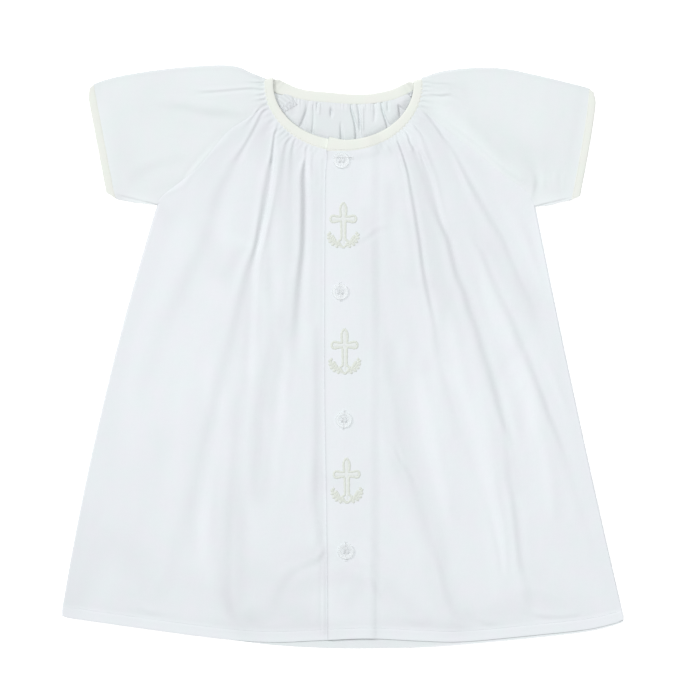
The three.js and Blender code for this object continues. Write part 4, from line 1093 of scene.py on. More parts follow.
def new_piece(name, solid, look, slot, uv=None, light=None, crease=50.0):
    """An object riding on the body, from its points in millimetres and its quads.

    look names its material. light is a number for each point, or for each on one face of a wall,
    and is then the same on the other.
    """
    points, quads = solid
    mesh = bpy.data.meshes.new(name)
    mesh.from_pydata((np.asarray(points) * MM).tolist(), [], quads.tolist())
    mesh.shade_smooth()
    mesh.set_sharp_from_angle(angle=math.radians(crease))
    if uv is not None:
        layer = mesh.uv_layers.new(name="Along")
        layer.data.foreach_set("uv", (uv[quads.ravel()] * MM).ravel())
    if light is not None:
        attribute = mesh.attributes.new("light", "FLOAT", "POINT")
        attribute.data.foreach_set("value", np.resize(np.ravel(light), len(points)))
    mesh.materials.append(material(look))
    mesh.update()
    piece = bpy.data.objects.new(name, mesh)
    bpy.context.scene.collection.objects.link(piece)
    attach(piece, "root")
    return piece


def new_thread(name, solid, colour):
    """A piece of thread of a named colour.
    """
    slot = "cotton" if colour == "White" else "binding"
    return new_piece(name, solid, colour + " thread", slot, crease=80)


def merged(parts):
    """Several point-and-quad pairs as one."""
    points, quads, start = [], [], 0
    for p, q in parts:
        points.append(p)
        quads.append(q + start)
        start += len(p)
    return np.concatenate(points), np.concatenate(quads)


def tube(line, radius, around=8, flat=1.0):
    """A round thread along a line: circles square to it, flattened in height by flat."""
    line = np.asarray(line, float)
    along = unit(np.gradient(line, axis=0))
    sideways = unit(np.cross(along, [0.0, 0.0, 1.0]))
    up = np.cross(sideways, along)
    radius = np.broadcast_to(radius, len(line))[:, None, None]
    turn = turns(around)[None, :, None]
    circle = np.cos(turn) * sideways[:, None] + flat * np.sin(turn) * up[:, None]
    return ring(line[:, None] + radius * circle)


def between(grid, row, column):
    """Points of a grid at rows and columns that lie between whole ones."""
    i = np.minimum(row.astype(int), grid.shape[0] - 2)
    j = np.minimum(column.astype(int), grid.shape[1] - 2)
    down, over = (row - i)[:, None], (column - j)[:, None]
    upper, lower = (mix(grid[k, j], grid[k, j + 1], over) for k in (i, i + 1))
    return mix(upper, lower, down)


def stitches(line):
    """A row of machine stitches: short bowed threads along a line, each thinner at its ends."""
    pitch = bpy.context.scene.gown_sizes.stitch / MM
    run = length_along(line)
    starts = np.arange(pitch / 2, run[-1] - pitch, pitch)
    stations, around = len(STITCH_SHAPE), 6
    t = np.linspace(0, 1, stations)
    place = starts[:, None] + STITCH_LENGTH * t[None]
    middle = np.stack([np.interp(place, run, line[:, k]) for k in range(3)], axis=-1)
    middle[..., 2] += STITCH_RADIUS * (np.sin(np.pi * t) * 1.2 - 0.5)
    along = unit(middle[:, -1] - middle[:, 0])
    side = np.stack([along[:, 1], -along[:, 0], np.zeros(len(along))], axis=1)[:, None, None]
    turn = turns(around)[None, None, :, None]
    circle = np.cos(turn) * side + np.sin(turn) * np.array([0, 0, 1.0])
    loops = middle[:, :, None] + STITCH_RADIUS * STITCH_SHAPE[None, :, None, None] * circle
    cap = np.array([[0, 1, 2, 3], [0, 3, 4, 5]])
    caps = [cap, cap[:, ::-1] + around * (stations - 1)]
    one = np.concatenate([grid_quads(stations, around, closed=True), *caps])
    one = facing_out(loops[0].reshape(-1, 3), one)
    quads = one[None] + around * stations * np.arange(len(starts))[:, None, None]
    return loops.reshape(-1, 3), quads.reshape(-1, 4)


# ---- Materials ----------------------------------------------------------------------------------

SLUB_WIDTH = 0.0006  # size of the weave's thicker stretches of thread, in metres
SLUB_LENGTH = 0.009
PLY_PITCH = 0.0006  # from one twist of a sewing thread to the next
MATERIALS = {}


class Nodes:
    """Short ways to add and join shader nodes. Underscores in a name stand for its spaces."""

    def __init__(self, name):
        """Make a material with the usual shader."""
        self.material = bpy.data.materials.new(name)
        self.material.use_nodes = True
        self.tree = self.material.node_tree
        self.shader = next(n for n in self.tree.nodes if n.type == "BSDF_PRINCIPLED")

    def put(self, socket, value):
        """Join a socket to an output, or set its value."""
        if isinstance(value, bpy.types.NodeSocket):
            self.tree.links.new(value, socket)
        else:
            socket.default_value = value

    def fill(self, node, inputs):
        """Join or set a node's inputs by name."""
        for key, value in inputs.items():
            self.put(node.inputs[key.replace("_", " ")], value)

    def surface(self, **inputs):
        """Join or set the shader's inputs, and give the material."""
        self.fill(self.shader, inputs)
        return self.material

    def add(self, kind, settings=None, **inputs):
        """A new node with its settings and inputs."""
        node = self.tree.nodes.new(kind)
        for key, value in (settings or {}).items():
            setattr(node, key, value)
        self.fill(node, inputs)
        return node

    def place(self, output="Object"):
        """Coordinates on the piece: the object's own, or those of its UV map."""
        return self.add("ShaderNodeTexCoord").outputs[output]

    def maths(self, operation, *values):
        """The outcome of one operation on numbers."""
        node = self.add("ShaderNodeMath", {"operation": operation})
        for socket, value in zip(node.inputs, values):
            self.put(socket, value)
        return node.outputs[0]

    def noise(self, where, scale, stretch=(1, 1, 1), detail=2.0):
        """Cloudy noise, of which scale gives the number of clouds in a metre."""
        where = self.add("ShaderNodeMapping", Scale=stretch, Vector=where).outputs[0]
        node = self.add("ShaderNodeTexNoise", Vector=where, Scale=scale, Detail=detail)
        return node.outputs[0]

    def wave(self, where, pitch, axis, turn=0.0):
        """Sine bands at a pitch in metres."""
        where = self.add("ShaderNodeMapping", Rotation=(0, 0, turn), Vector=where).outputs[0]
        band = 2 * math.pi / 20 / pitch
        kind = {"bands_direction": axis, "wave_profile": "SIN"}
        return self.add("ShaderNodeTexWave", kind, Vector=where, Scale=band).outputs[1]

    def blend(self, factor, a, b):
        """A colour between two others."""
        node = self.add("ShaderNodeMix", {"data_type": "RGBA"})
        for k, value in ((0, factor), (6, a), (7, b)):
            self.put(node.inputs[k], value)
        return node.outputs[2]

    def bump(self, height, distance, strength, **under):
        """Small relief, on top of another one that is given as Normal."""
        inputs = {"Height": height, "Distance": distance, "Strength": strength, **under}
        return self.add("ShaderNodeBump", **inputs).outputs[0]


def scaled(colour, amount):
    """A colour made lighter or darker, with full alpha."""
    return tuple(min(c * amount, 1.0) for c in colour[:3]) + (1.0,)


def cloth_material(name, colour, output="Object", turn=0.0):
    """Plain weave: bands across each other for the threads, slubs along them, and soft mottling.

    The colour drifts a little between two tints, and the light attribute makes it lighter or
    darker:
    lighter where cloth lies double, and elsewhere with painted light and shade.
    """
    n = Nodes(name)
    where = n.place(output)
    warp, weft = (n.wave(where, bpy.context.scene.gown_sizes.weave, axis, turn) for axis in "XY")
    weave = n.maths("MULTIPLY", warp, weft)
    slub_x = n.noise(where, 1.0, (1 / SLUB_WIDTH, 1 / SLUB_LENGTH, 60))
    slub_y = n.noise(where, 1.0, (1 / SLUB_LENGTH, 1 / SLUB_WIDTH, 60))
    slubs = n.maths("MULTIPLY", n.maths("ADD", slub_x, slub_y), 0.5)
    mottle = n.noise(where, 38.0)
    light = n.add("ShaderNodeAttribute", {"attribute_name": "light"}).outputs["Fac"]
    tone = n.maths("ADD", n.maths("MULTIPLY", slubs, 0.6), n.maths("MULTIPLY", mottle, 0.4))
    tone = n.maths("SMOOTH_MIN", tone, 1.0, 0.1)
    tone = n.blend(tone, scaled(colour, 0.965), scaled(colour, 1.03))
    drift = n.maths("MULTIPLY_ADD", n.noise(where, 75.0, detail=1.0), 2.4, -0.7)
    drift = n.blend(drift, (1.012, 0.993, 1.006, 1), (0.986, 1.006, 0.996, 1))
    tinted = n.add("ShaderNodeVectorMath", {"operation": "MULTIPLY"}, Vector=tone)
    n.put(tinted.inputs[1], drift)
    lit = n.maths("ADD", light, 1.0)
    lit = n.add("ShaderNodeVectorMath", {"operation": "SCALE"}, Vector=tinted.outputs[0], Scale=lit)
    rough = n.maths("MULTIPLY_ADD", slubs, 0.1, 0.8)
    crumple = n.bump(n.noise(where, 190.0, detail=3.0), 0.0003, 0.35)
    relief = n.bump(n.maths("ADD", weave, slubs), 0.00006, 0.5, Normal=crumple)
    return n.surface(
        Base_Color=lit.outputs[0],
        Roughness=rough,
        Specular_IOR_Level=0.25,
        Sheen_Weight=0.15,
        Sheen_Roughness=0.5,
        Normal=relief,
    )


def thread_material(name, colour):
    """Twisted thread: fine slanting bands across it, with a soft gloss."""
    n = Nodes(name)
    where = n.place()
    twist = n.wave(where, PLY_PITCH, "X", math.radians(38))
    patch = n.noise(where, 900.0)
    tone = n.maths("MULTIPLY_ADD", twist, 0.5, n.maths("MULTIPLY", patch, 0.5))
    tone = n.blend(tone, scaled(colour, 0.9), scaled(colour, 1.05))
    relief = n.bump(twist, 0.00008, 0.6)
    return n.surface(Base_Color=tone, Roughness=0.5, Sheen_Weight=0.3, Normal=relief)


def button_material(name, colour):
    """Clear, faintly pearly plastic: see-through, with cloudy bands under a hard gloss."""
    n = Nodes(name)
    cloud = n.noise(n.place(), 420.0, (1, 1.7, 1), 3.0)
    tone = n.blend(cloud, scaled(colour, 0.9), scaled(colour, 1.08))
    rough = n.maths("MULTIPLY_ADD", cloud, 0.2, 0.25)
    relief = n.bump(cloud, 0.0001, 0.15)
    return n.surface(
        Base_Color=tone,
        Roughness=rough,
        IOR=1.49,
        Alpha=0.28,
        Coat_Weight=0.35,
        Coat_Roughness=0.2,
        Normal=relief,
    )


def new_material(name):
    """Any of the gown's materials, in the colours that are set on the scene."""
    colours = bpy.context.scene.gown_colours
    cloths = {
        "Cotton": colours.cotton,
        "Cotton sleeve": colours.sleeve,
        # The inside is a darker copy of the cotton: painted shade of the back, which lies under the
        # front.
        "Shaded cotton inside": colours.inside,
        # The allowance is painted darker still, for the shade between the bindings.
        "Shaded cotton edge": scaled(colours.inside, 0.93),
        # The slit is a dark strip of painted shade, for the shadow in the buttonhole's opening.
        "Slit shade": scaled(colours.inside, 0.6),
    }
    threads = {
        "White thread": colours.cotton,
        "Cream thread": colours.binding,
        "Ecru thread": colours.embroidery,
        "Pale thread": mix(colours.embroidery, colours.cotton, 0.6),
    }
    if name in cloths:
        return cloth_material(name, cloths[name])
    if name in threads:
        return thread_material(name, threads[name])
    if name == "Binding":
        return cloth_material(name, colours.binding, "UV", math.radians(45))
    return button_material(name, colours.button)


def material(name):
    """One of the gown's materials, made when it is first asked for."""
    if name not in MATERIALS:
        MATERIALS[name] = new_material(name)
    return MATERIALS[name]


# ---- Cloth surfaces -----------------------------------------------------------------------------


def hem_shape(points, column):
    """How far up from the hem each point is, and the turned-up hem and its groove as shares."""
    up = points[..., 1] - hem_y(column, points[..., 0])
    depth = bpy.context.scene.gown_sizes.hem_depth / MM
    turned_up = 1 - smooth(depth - 0.5, depth + 0.5, up)
    return up, turned_up, bell(up - depth + STITCH_INSET, 0.6)


def drawn_in(points, corner, inwards, amount, reach):
    """Points near a corner moved inwards by a bell of their distance from it, which rounds it."""
    away = np.linalg.norm(points[..., :2] - corner, axis=-1)[..., None]
    return points[..., :2] + amount * bell(away, reach) * np.asarray(inwards, float)


def hem_corner(side, points, column):
    """The points of a panel with its outer hem corner rounded."""
    corner = np.array([side["corner_x"], hem_y(column, side["corner_x"])])
    return drawn_in(points, corner, (-0.9 * side["sign"], 0.7), side["rounded"], 3.4)


def front_panel_grid(side, rows, columns):
    """Plan grid of a front panel, between neck and raglan, hem, placket edge and side seam."""
    left = side is LEFT
    upper_x, lower_x = (LAP[0, 0], LAP[-1, 0]) if left else (UNDERLAP, UNDERLAP)
    neck = tucked_neck(neck_angle(upper_x), side["neck_angle"])
    top = joined(neck, raglan(side, "front", SEAM_TUCK), 0.5)
    bottom = hem_edge("front", lower_x, side["corner_x"])

    def overlap(t):
        """The overlap's free edge."""
        y = mix(top(0.0)[1], bottom(0.0)[1], t)
        return paired(lap_x(y), y)

    inner = overlap if left else straight(top(0.0), bottom(0.0))
    plan = coons(top, bottom, inner, side_edge(side, "front"), columns, rows)
    return hem_corner(side, plan, "front")


def lap_step(x, y):
    """How far the overlap lies above the underlap, running out beside it."""
    at_neck = 1 - smooth(0, 9, from_neck(x, y))
    step = mix(LAP_STEP, LAP_AT_NECK, at_neck)
    return step * (1 - smooth(UNDERLAP + 1, RAMP_END + 4 * at_neck, x))


def placket_top(x, y):
    """The upper face of the overlap."""
    return front_surface(LEFT, x, y) + lap_step(x, y)


def upper_face(side, x, y):
    """The upper face of a front panel."""
    return placket_top(x, y) if side is LEFT else front_surface(side, x, y)


def make_front(side):
    """A front panel: a patch in plan, raised by the shared surface, with a turned hem.

    It sinks at the raglan seam and the hem's edge. The overlap's free edge is a fold of the cloth,
    so it is thicker and rounded there, and the end of its facing shows as a shallow line.
    """
    rows = graded((0.006, 6), (0.09, 50), (0.38, 62), (0.955, 78), (1.0, 22))
    columns = graded((0.008, 5), (0.5, 116), (0.985, 76), (1.0, 5))
    plan = front_panel_grid(side, rows, columns)
    x, y = plan[..., 0], plan[..., 1]
    up, turned_up, groove = hem_shape(plan, "front")
    on_seam = smooth(0.492, 0.5, columns)[None, :]
    layer = HEM_LAYER * turned_up
    thick = bpy.context.scene.gown_sizes.cloth / MM + layer
    z = upper_face(side, x, y) - SEAM_DIP * fade(spacing(plan, 0), DIP_REACH) * on_seam
    z = z + layer - HEM_GROOVE * groove - 0.2 * fade(up, 0.5)
    facing = 0.0
    if side is LEFT:
        from_edge = spacing(plan, 1)
        facing = bell(x - FACING_END, 0.8) * (1 - smooth(-185, -165, y))
        z = z - 0.4 * fade(from_edge, 1.3) - 0.18 * facing
        thick = thick + 0.3 * (1 - smooth(UNDERLAP, UNDERLAP + 5, x))
    # The light attribute: lighter where the cloth lies double, darker where the facing ends, less
    # the painted shade of the gathers.
    light = LAYER_LIGHT * (turned_up - facing) - gathered_shade(x, y)
    # Painted light or shade along the side seam's edge, and a painted pale edge along the hem.
    light = light + side["edge_light"] * fade(edge_distance(side, x, y), 0.9) + 0.03 * fade(up, 0.6)
    # A painted dark line along the overlap's free edge, for the shade beside its fold.
    if side is LEFT:
        light = light - 0.22 * fade(from_edge, 0.7)
    name = "front_" + side["name"]
    piece = new_piece(name + "_cloth", wall(plan, z, z - thick), "Cotton", "cotton", light=light)
    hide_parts(name + "_panel")
    return piece


def back_height(x, y):
    """The upper face of the back panel: flat, but puffed and gathered inside the front neck."""
    below = np.interp(x, BACK_NECK["seam_x"], BACK_NECK["seam_y"]) - y
    puff = 1.8 * smooth(-4, 5, below) * (1 - smooth(-13, -5, from_neck(x, y)))
    gathers = BACK_FOLD_HEIGHT * fold_field(x, y, BACK_FOLDS, False) + back_pucker(x, below)
    return BACK_TOP + np.maximum(puff + gathers * smooth(-0.4, 0.4, puff), 0)


def back_light(x, y, up, turned_up):
    """How much lighter or darker the back is painted.

    The hem is lighter where it lies double, with a painted pale edge on the wearer's left and a
    band of painted shade just above it, and painted shade lies inside the neck: below its left
    corner, above the front's edge, and less so in the middle.
    """
    hem = LAYER_LIGHT * turned_up + 0.10 * fade(up, 0.6) * smooth(40, 80, x)
    hem = hem - 0.035 * bell(up - 2.6, 1.4) * smooth(50, 80, x)
    corner = 0.12 * bell(np.hypot(x - 51, y - 188), 8)
    rim = 0.04 * bell(from_neck(x, y) + 12, 4) * (1 - smooth(174, 190, y))
    middle = 0.035 * bell(np.hypot((x - 18) / 2, y - 186), 8)
    return hem - corner - rim + middle


def make_back():
    """The back panel: a patch between both raglan seams and the neck, the hem and the sides."""
    right_raglan, left_raglan = (raglan(side, "back", -BACK_GAP) for side in (RIGHT, LEFT))
    neck = tucked_back_neck(BACK_CORNERS["right"], BACK_CORNERS["left"])
    upper_edge = joined(lambda t: right_raglan(1 - t), joined(neck, left_raglan, 0.5), 1 / 3)
    bottom = hem_edge("back", RIGHT["corner_x"], LEFT["corner_x"])
    sides = (side_edge(side, "back") for side in (RIGHT, LEFT))
    columns = graded((0.33, 32), (0.67, 310), (1.0, 32))
    rows = graded((0.11, 72), (0.3, 20), (0.96, 24), (1.0, 10))
    plan = coons(upper_edge, bottom, *sides, columns, rows)
    for side in (LEFT, RIGHT):
        plan = hem_corner(side, plan, "back")
    x, y = plan[..., 0], plan[..., 1]
    up, turned_up, _ = hem_shape(plan, "back")
    layer = BACK_HEM_LAYER * turned_up
    z = back_height(x, y) + layer + 0.35 * fade(up, 2.5) + 0.2 * bell(up, 12)
    solid, light = wall(plan, z, z - BACK_TOP - layer), back_light(x, y, up, turned_up)
    piece = new_piece("back_cloth", solid, "Shaded cotton inside", "cotton", light=light)
    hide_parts("back_panel")
    return piece


def make_allowance(side):
    """The raglan seam's allowance on the back's inside: a crumpled strip with an overcast edge.

    Its wall is thin and follows the back panel, with waves across it that grow towards its free
    edge. A thread runs to and fro over the outer half.
    """
    along, across = np.linspace(0.0, 0.9, 220), np.linspace(0.0, 1.0, 16)
    inner, outer = (raglan(side, "back", b)(along) for b in (ALLOWANCE_OVER, -side["allowance"]))
    share = across[:, None]
    plan = mix(inner[None], outer[None], share[..., None])
    run = spacing(plan, 1)
    ripple = np.sin(2 * np.pi * (run + 3.5 * share) / 2.7 + 1.3 * np.sin(run / 2))
    wave = 0.14 * (0.25 + 0.75 * share) * ripple
    z = back_height(plan[..., 0], plan[..., 1]) + ALLOWANCE_LIFT + wave
    name = "seam_allowance_" + side["name"]
    # The strip's painted light or shade, with painted light and shade that follow its ripples.
    light = side["allowance_light"] + 0.05 * ripple
    strip = wall(plan, z + ALLOWANCE_THICK, z)
    piece = new_piece(name, strip, "Shaded cotton edge", "cotton", light=light)
    t = np.arange(0, run[-1, -1], 0.2)
    row = (0.5 + 0.48 * np.abs(np.mod(t / 1.3, 2) - 1)) * (len(across) - 1)
    column = np.interp(t, run[-1], np.arange(len(along)))
    over = between(np.dstack([plan, z + OVERCAST_LIFT]), row, column)
    thread = new_thread(name + "_thread", tube(over, 0.26, 6), "White")
    return piece, thread, run[0, -1]


def cuff_bow(side, t):
    """How far the sleeve's end bows outwards, t of the way down it."""
    return side["cuff_bow"] * np.sin(np.pi * np.asarray(t) ** 0.7)[..., None] * [side["sign"], -0.1]


def cuff_share(curve, side, inset):
    """How far along a curve one comes to the line beside the sleeve's end, at an inset from it."""
    t = np.linspace(0, 1, 2000)
    end, low = side["fold"][-1], side["underside"][-1]
    along, offset = unit(low - end), curve(t) - end
    away = np.abs(offset[:, 0] * along[1] - offset[:, 1] * along[0])
    return t[np.argmax(away <= inset)]


def half_sleeve(side, half, beyond, rows, columns):
    """Plan grid of a sleeve's front or back, between its fold, end, lower edge and neck edge.

    The line where it meets the roll over the fold lies inside the outline by the roll's radius.
    """
    outline, under = even(side["fold"]), even(side["underside"])
    stop, under_stop = (cuff_share(curve, side, CUFF_WIDTH - 0.8) for curve in (outline, under))

    def fold(t):
        """The line where this half meets the roll."""
        point = outline(np.asarray(t, float) * stop)
        roll = front_surface(side, point[..., 0], point[..., 1]) / 2
        return point - paired(np.zeros_like(roll), roll)

    seam = raglan(side, half, beyond)
    lower = joined(seam, lambda t: under(np.asarray(t, float) * under_stop), 0.76)
    if half == "front":
        neck = tucked_neck(0.0 if side is LEFT else 180.0, side["neck_angle"])
    else:
        neck = tucked_back_neck(1.0 if side is LEFT else 0.0, BACK_CORNERS[side["name"]])

    def end(t):
        """The sleeve's end, with its bow."""
        return straight(fold(1.0), lower(1.0))(t) + cuff_bow(side, t)

    return coons(fold, lower, neck, end, columns, rows), fold(columns)


def make_sleeve(side):
    """A raglan sleeve laid flat: its front, a half round roll over the top fold, and its back."""
    thick = bpy.context.scene.gown_sizes.cloth / MM
    columns = graded((0.02, 8), (0.16, 46), (0.76, 80), (0.985, 28), (1.0, 4))
    front_rows, back_rows = graded((0.9, 94), (0.985, 12), (1.0, 9)), graded((1.0, 32))
    front, top = half_sleeve(side, "front", -SEAM_TUCK, front_rows, columns)
    back, _ = half_sleeve(side, "back", BACK_GAP, back_rows, columns)
    on_seam = 1 - smooth(0.755, 0.765, columns)[None, :]
    from_seam = spacing(front[::-1], 0)[::-1]
    z = front_surface(side, front[..., 0], front[..., 1])
    z = z - SEAM_DIP * fade(from_seam, DIP_REACH) * on_seam
    middle = z[0] / 2
    turn = np.linspace(0, np.pi, 13)[1:-1, None]

    def layer(height, radius, floor):
        """One face of the whole sleeve: the front's, the roll's and the back's points."""
        across = top[:, 1] + radius * np.sin(turn)
        run = np.broadcast_to(top[:, 0], across.shape)
        roll = np.dstack([run, across, middle + radius * np.cos(turn)])
        below = np.dstack([back, np.full(back.shape[:2], floor)])
        return np.concatenate([np.dstack([front, height])[::-1], roll, below])

    inner = layer(z - thick, np.maximum(middle - thick, 0.05), thick)
    solid = shell(layer(z, middle, 0.0), inner)
    x, y = solid[0].T[:2]
    from_fold = np.interp(x, *top[np.argsort(top[:, 0])].T) - y
    # Painted shade of the gathers, and a painted darker line along the top fold.
    light = -gathered_shade(x, y) - 0.03 * fade(from_fold, 1.6)
    name = "sleeve_" + side["name"]
    piece = new_piece(name + "_cloth", solid, "Cotton sleeve", "cotton", light=light)
    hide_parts(name)
    return piece


# ---- Bindings -----------------------------------------------------------------------------------

BEND = 0.03, 0.97  # where a binding's bend over a fold starts and ends, in half turns


def band_section():
    """The rounded flat section of a binding: a circle squared off, as rows of across and height."""
    turn = turns(24)
    c, s = np.cos(turn), np.sin(turn)
    return paired(np.sign(c) * np.abs(c) ** 0.45, np.sign(s) * np.abs(s) ** 0.8) / 2


def make_band(name, hole, seam, out, thick, light=0.0):
    """A binding: its section carried along stations between its two edges.

    hole and seam are the edges with their middle height, out is the way of its outer face, and
    light is the painted shade or light in its colour at each station.
    A row of stitches runs along the outer face beside the seam edge.
    """
    section = band_section()
    centre, across = (hole + seam) / 2, seam - hole
    run = length_along(centre)
    puff = 0.97 + 0.03 * np.sin(run / 2.3 + np.sin(run / 9))
    loops = centre[:, None] + across[:, None] * section[None, :, :1]
    loops = loops + out[:, None] * section[None, :, 1:] * (thick * puff)[:, None, None]
    shape = loops.shape[:2]
    u, v = np.broadcast_to(run[:, None], shape), np.broadcast_to(section[:, 0] * CUFF_WIDTH, shape)
    uv = np.concatenate([paired(u, v).reshape(-1, 2), [[0, 0], [run[-1], 0]]])
    light = np.broadcast_to(np.reshape(light, (-1, 1)), shape).ravel()
    look = {"uv": uv, "light": np.concatenate([light, light[[0, -1]]]), "crease": 70}
    piece = new_piece(name + "_cloth", ring(loops), "Binding", "binding", **look)
    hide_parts(name)
    row = centre + 0.32 * across + out * (thick * 0.47)
    facing_up = out[:, 2] > -0.5
    thread = new_thread(name + "_stitching", stitches(row[facing_up]), "Cream")
    return piece, thread, run[-1]


def binding_height(angle, overlapping):
    """The middle height of the front neck binding."""
    height = SIDE_TOP + MOUND + BINDING_THICK / 2
    if overlapping:
        x = neck_point("seam", angle)[..., 0]
        height = height + (BINDING_THICK + 0.3) * (1 - smooth(UNDERLAP + 1, RAMP_END + 4, x))
    return height


def half_turn(turn, reach, middle):
    """A half round bend over a fold at angles from its top: places, heights and outward ways."""
    none = np.zeros_like(turn)
    bend = paired(none, reach * np.sin(turn))
    return bend, middle + reach * np.cos(turn), np.column_stack([none, np.sin(turn), np.cos(turn)])


def neck_stations():
    """Edges, middle heights and outward ways of the neck binding, from its overlap end round.

    It runs along the front, bends over the left shoulder, comes back along the back neck, face
    down, bends over the right shoulder and ends on the underlap.
    """
    parts = []

    def add(hole, seam, height, out):
        """Some more stations."""
        height = np.reshape(height, (-1, 1)) * np.ones((len(hole), 1))
        out = np.broadcast_to(np.array(out, float), (len(hole), 3))
        parts.append((np.hstack([hole, height]), np.hstack([seam, height]), out))

    def front(overlapping, start, end, count):
        """A stretch of the front, its seam edge waved by the gathers and its end spread a bit."""
        angle = np.linspace(start, end, count)
        flare = bell(neck_point("seam", angle)[:, 0] - LAP[0, 0], 9)[:, None] * overlapping
        middle = np.array([NECK["x"], NECK["y"]])
        hole = neck_point("hole", angle)
        seam = neck_point("seam", angle, 2 * gather_wave(np.radians(angle)))
        hole, seam = hole + 0.035 * flare * (middle - hole), seam - 0.014 * flare * (middle - seam)
        add(hole, seam, binding_height(angle, overlapping), (0, 0, 1))

    def shoulder(t, start, end):
        """The bend over a shoulder."""
        middle = (binding_height(180.0 * (1 - t), False) + BINDING_THICK / 2) / 2
        turn = np.pi * np.linspace(start, end, 14)
        bend, height, out = half_turn(turn, middle - BINDING_THICK / 2, middle)
        add(back_neck("hole")(t) + bend, back_neck("seam")(t) + bend, height, out)

    front(True, neck_angle(LAP[0, 0]), 0.0, 260)
    shoulder(1.0, *BEND)
    t = np.linspace(1, 0, 92)[1:-1]
    add(back_neck("hole")(t), back_neck("seam")(t), BINDING_THICK / 2, (0, 0, -1))
    shoulder(0.0, *BEND[::-1])
    front(False, 180.0, neck_angle(UNDERLAP), 200)
    return [np.concatenate(p) for p in zip(*parts)]


def make_cuff(side):
    """A sleeve's binding: a flattened loop round the sleeve's end, with its corners rounded."""
    outline, under = even(side["fold"]), even(side["underside"])
    a, b = (cuff_share(curve, side, CUFF_WIDTH) for curve in (outline, under))
    count, above, below = 70, CUFF_TOP - CUFF_THICK / 2, CUFF_THICK / 2
    middle = (above + below) / 2
    reach = middle - below
    bend, heights, out = half_turn(np.linspace(*BEND, 12) * np.pi, reach, middle)
    top = [outline(share) - [0, middle] for share in (a, 1.0)]
    low = [under(b), under(1.0)]
    t = np.linspace(1, 0, count)
    heights = np.concatenate([np.full(count, above), heights, np.full(count, below)])
    edges = []
    for k in (0, 1):
        face = mix(top[k], low[k], t[:, None]) + cuff_bow(side, t)
        edges.append(np.column_stack([np.concatenate([face, top[k] + bend, face[::-1]]), heights]))
    inner, outer = edges
    inwards = unit(top[0] - top[1]) + [0, -0.2]
    outer[:, :2] = drawn_in(outer, top[1] + [0, reach], inwards, 2.2, 4.0)
    out = np.concatenate([np.tile([0.0, 0, 1], (count, 1)), out, np.tile([0.0, 0, -1], (count, 1))])
    return make_band("cuff_binding_" + side["name"], outer, inner, out, CUFF_THICK)


# ---- Buttons and embroidery ---------------------------------------------------------------------

BUTTON_ROUND = 0.5  # radius of a button's rounded upper edge
BUTTON_FLAT = 0.7  # how much its heights are pressed together
BUTTON_LIFT = 0.4  # how far it stands off the cloth
HOLE_PLACE = 1.55  # a hole's place across and up from the button's middle
HOLE_DEPTH = 0.7
BUTTONHOLE_HALF = 7.2  # half the length of a buttonhole
MIRRORED = np.array([1, 1]), np.array([-1, 1])  # what a motif's halves are multiplied by


def make_button(number, place):
    """A button: rings of points from the rim in, dished on top, with four pits for the holes.

    Three strands of thread run from hole to hole on either side.
    """
    radius = bpy.context.scene.gown_sizes.button / MM / 2
    turn = turns(80)
    r = np.concatenate([np.linspace(0.02, 3.6, 44), np.linspace(3.7, radius - BUTTON_ROUND, 10)])
    dish = 1.15 + 0.6 * smooth(3.2, 4.5, r)
    rim = np.linspace(0, np.pi / 2, 7)[1:]
    rim_r = radius - BUTTON_ROUND + BUTTON_ROUND * np.sin(rim)
    rim_z = dish[-1] - BUTTON_ROUND + BUTTON_ROUND * np.cos(rim)
    under_r, under_z = [radius, radius - 0.25, radius - 0.5, 4, 2, 0.02], [0.5, 0.12, 0, 0, 0, 0]
    all_r, all_z = np.concatenate([r, rim_r, under_r]), np.concatenate([dish, rim_z, under_z])
    x, y = all_r[:, None] * np.cos(turn), all_r[:, None] * np.sin(turn)
    z = np.broadcast_to(all_z[:, None], x.shape).copy()
    strands = []
    t = np.linspace(-1, 1, 11)
    for sx in (1, -1):
        for sy in (1, -1):
            away = np.hypot(x - HOLE_PLACE * sx, y - HOLE_PLACE * sy)[: len(r)]
            z[: len(r)] -= HOLE_DEPTH * (1 - smooth(0.5, 0.95, away))
        for aside in (-0.3, 0.0, 0.3):
            across = HOLE_PLACE * sx + aside * (1 - 0.4 * np.abs(t))
            height = 0.72 + 0.3 * (1 - t**2) - 0.4 * np.abs(t) ** 8 + 0.05 * aside
            strands.append(tube(np.column_stack([across, 1.75 * t, height]), 0.2, 6))
    on = placket_top(place["x"], place["y"]) + BUTTON_LIFT
    at = np.array([place["x"], place["y"], float(on)])
    points, quads = ring(np.dstack([x, y, BUTTON_FLAT * z]))
    name = f"button_{number}"
    piece = new_piece(name + "_shape", (points + at, quads), "Button", "button", crease=40)
    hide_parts(name)
    points, quads = merged(strands)
    new_thread(name + "_thread", (points + at, quads), "White")


def laid(points, place, lift):
    """Plan points turned and moved to a place, and laid on the overlap at a height above it.

    place is x, y and the turn anticlockwise in degrees.
    """
    x, y, degrees = place
    c, s = math.cos(math.radians(degrees)), math.sin(math.radians(degrees))
    points = np.asarray(points, float) @ np.array([[c, s], [-s, c]]) + [x, y]
    return np.column_stack([points, placket_top(*points.T) + lift])


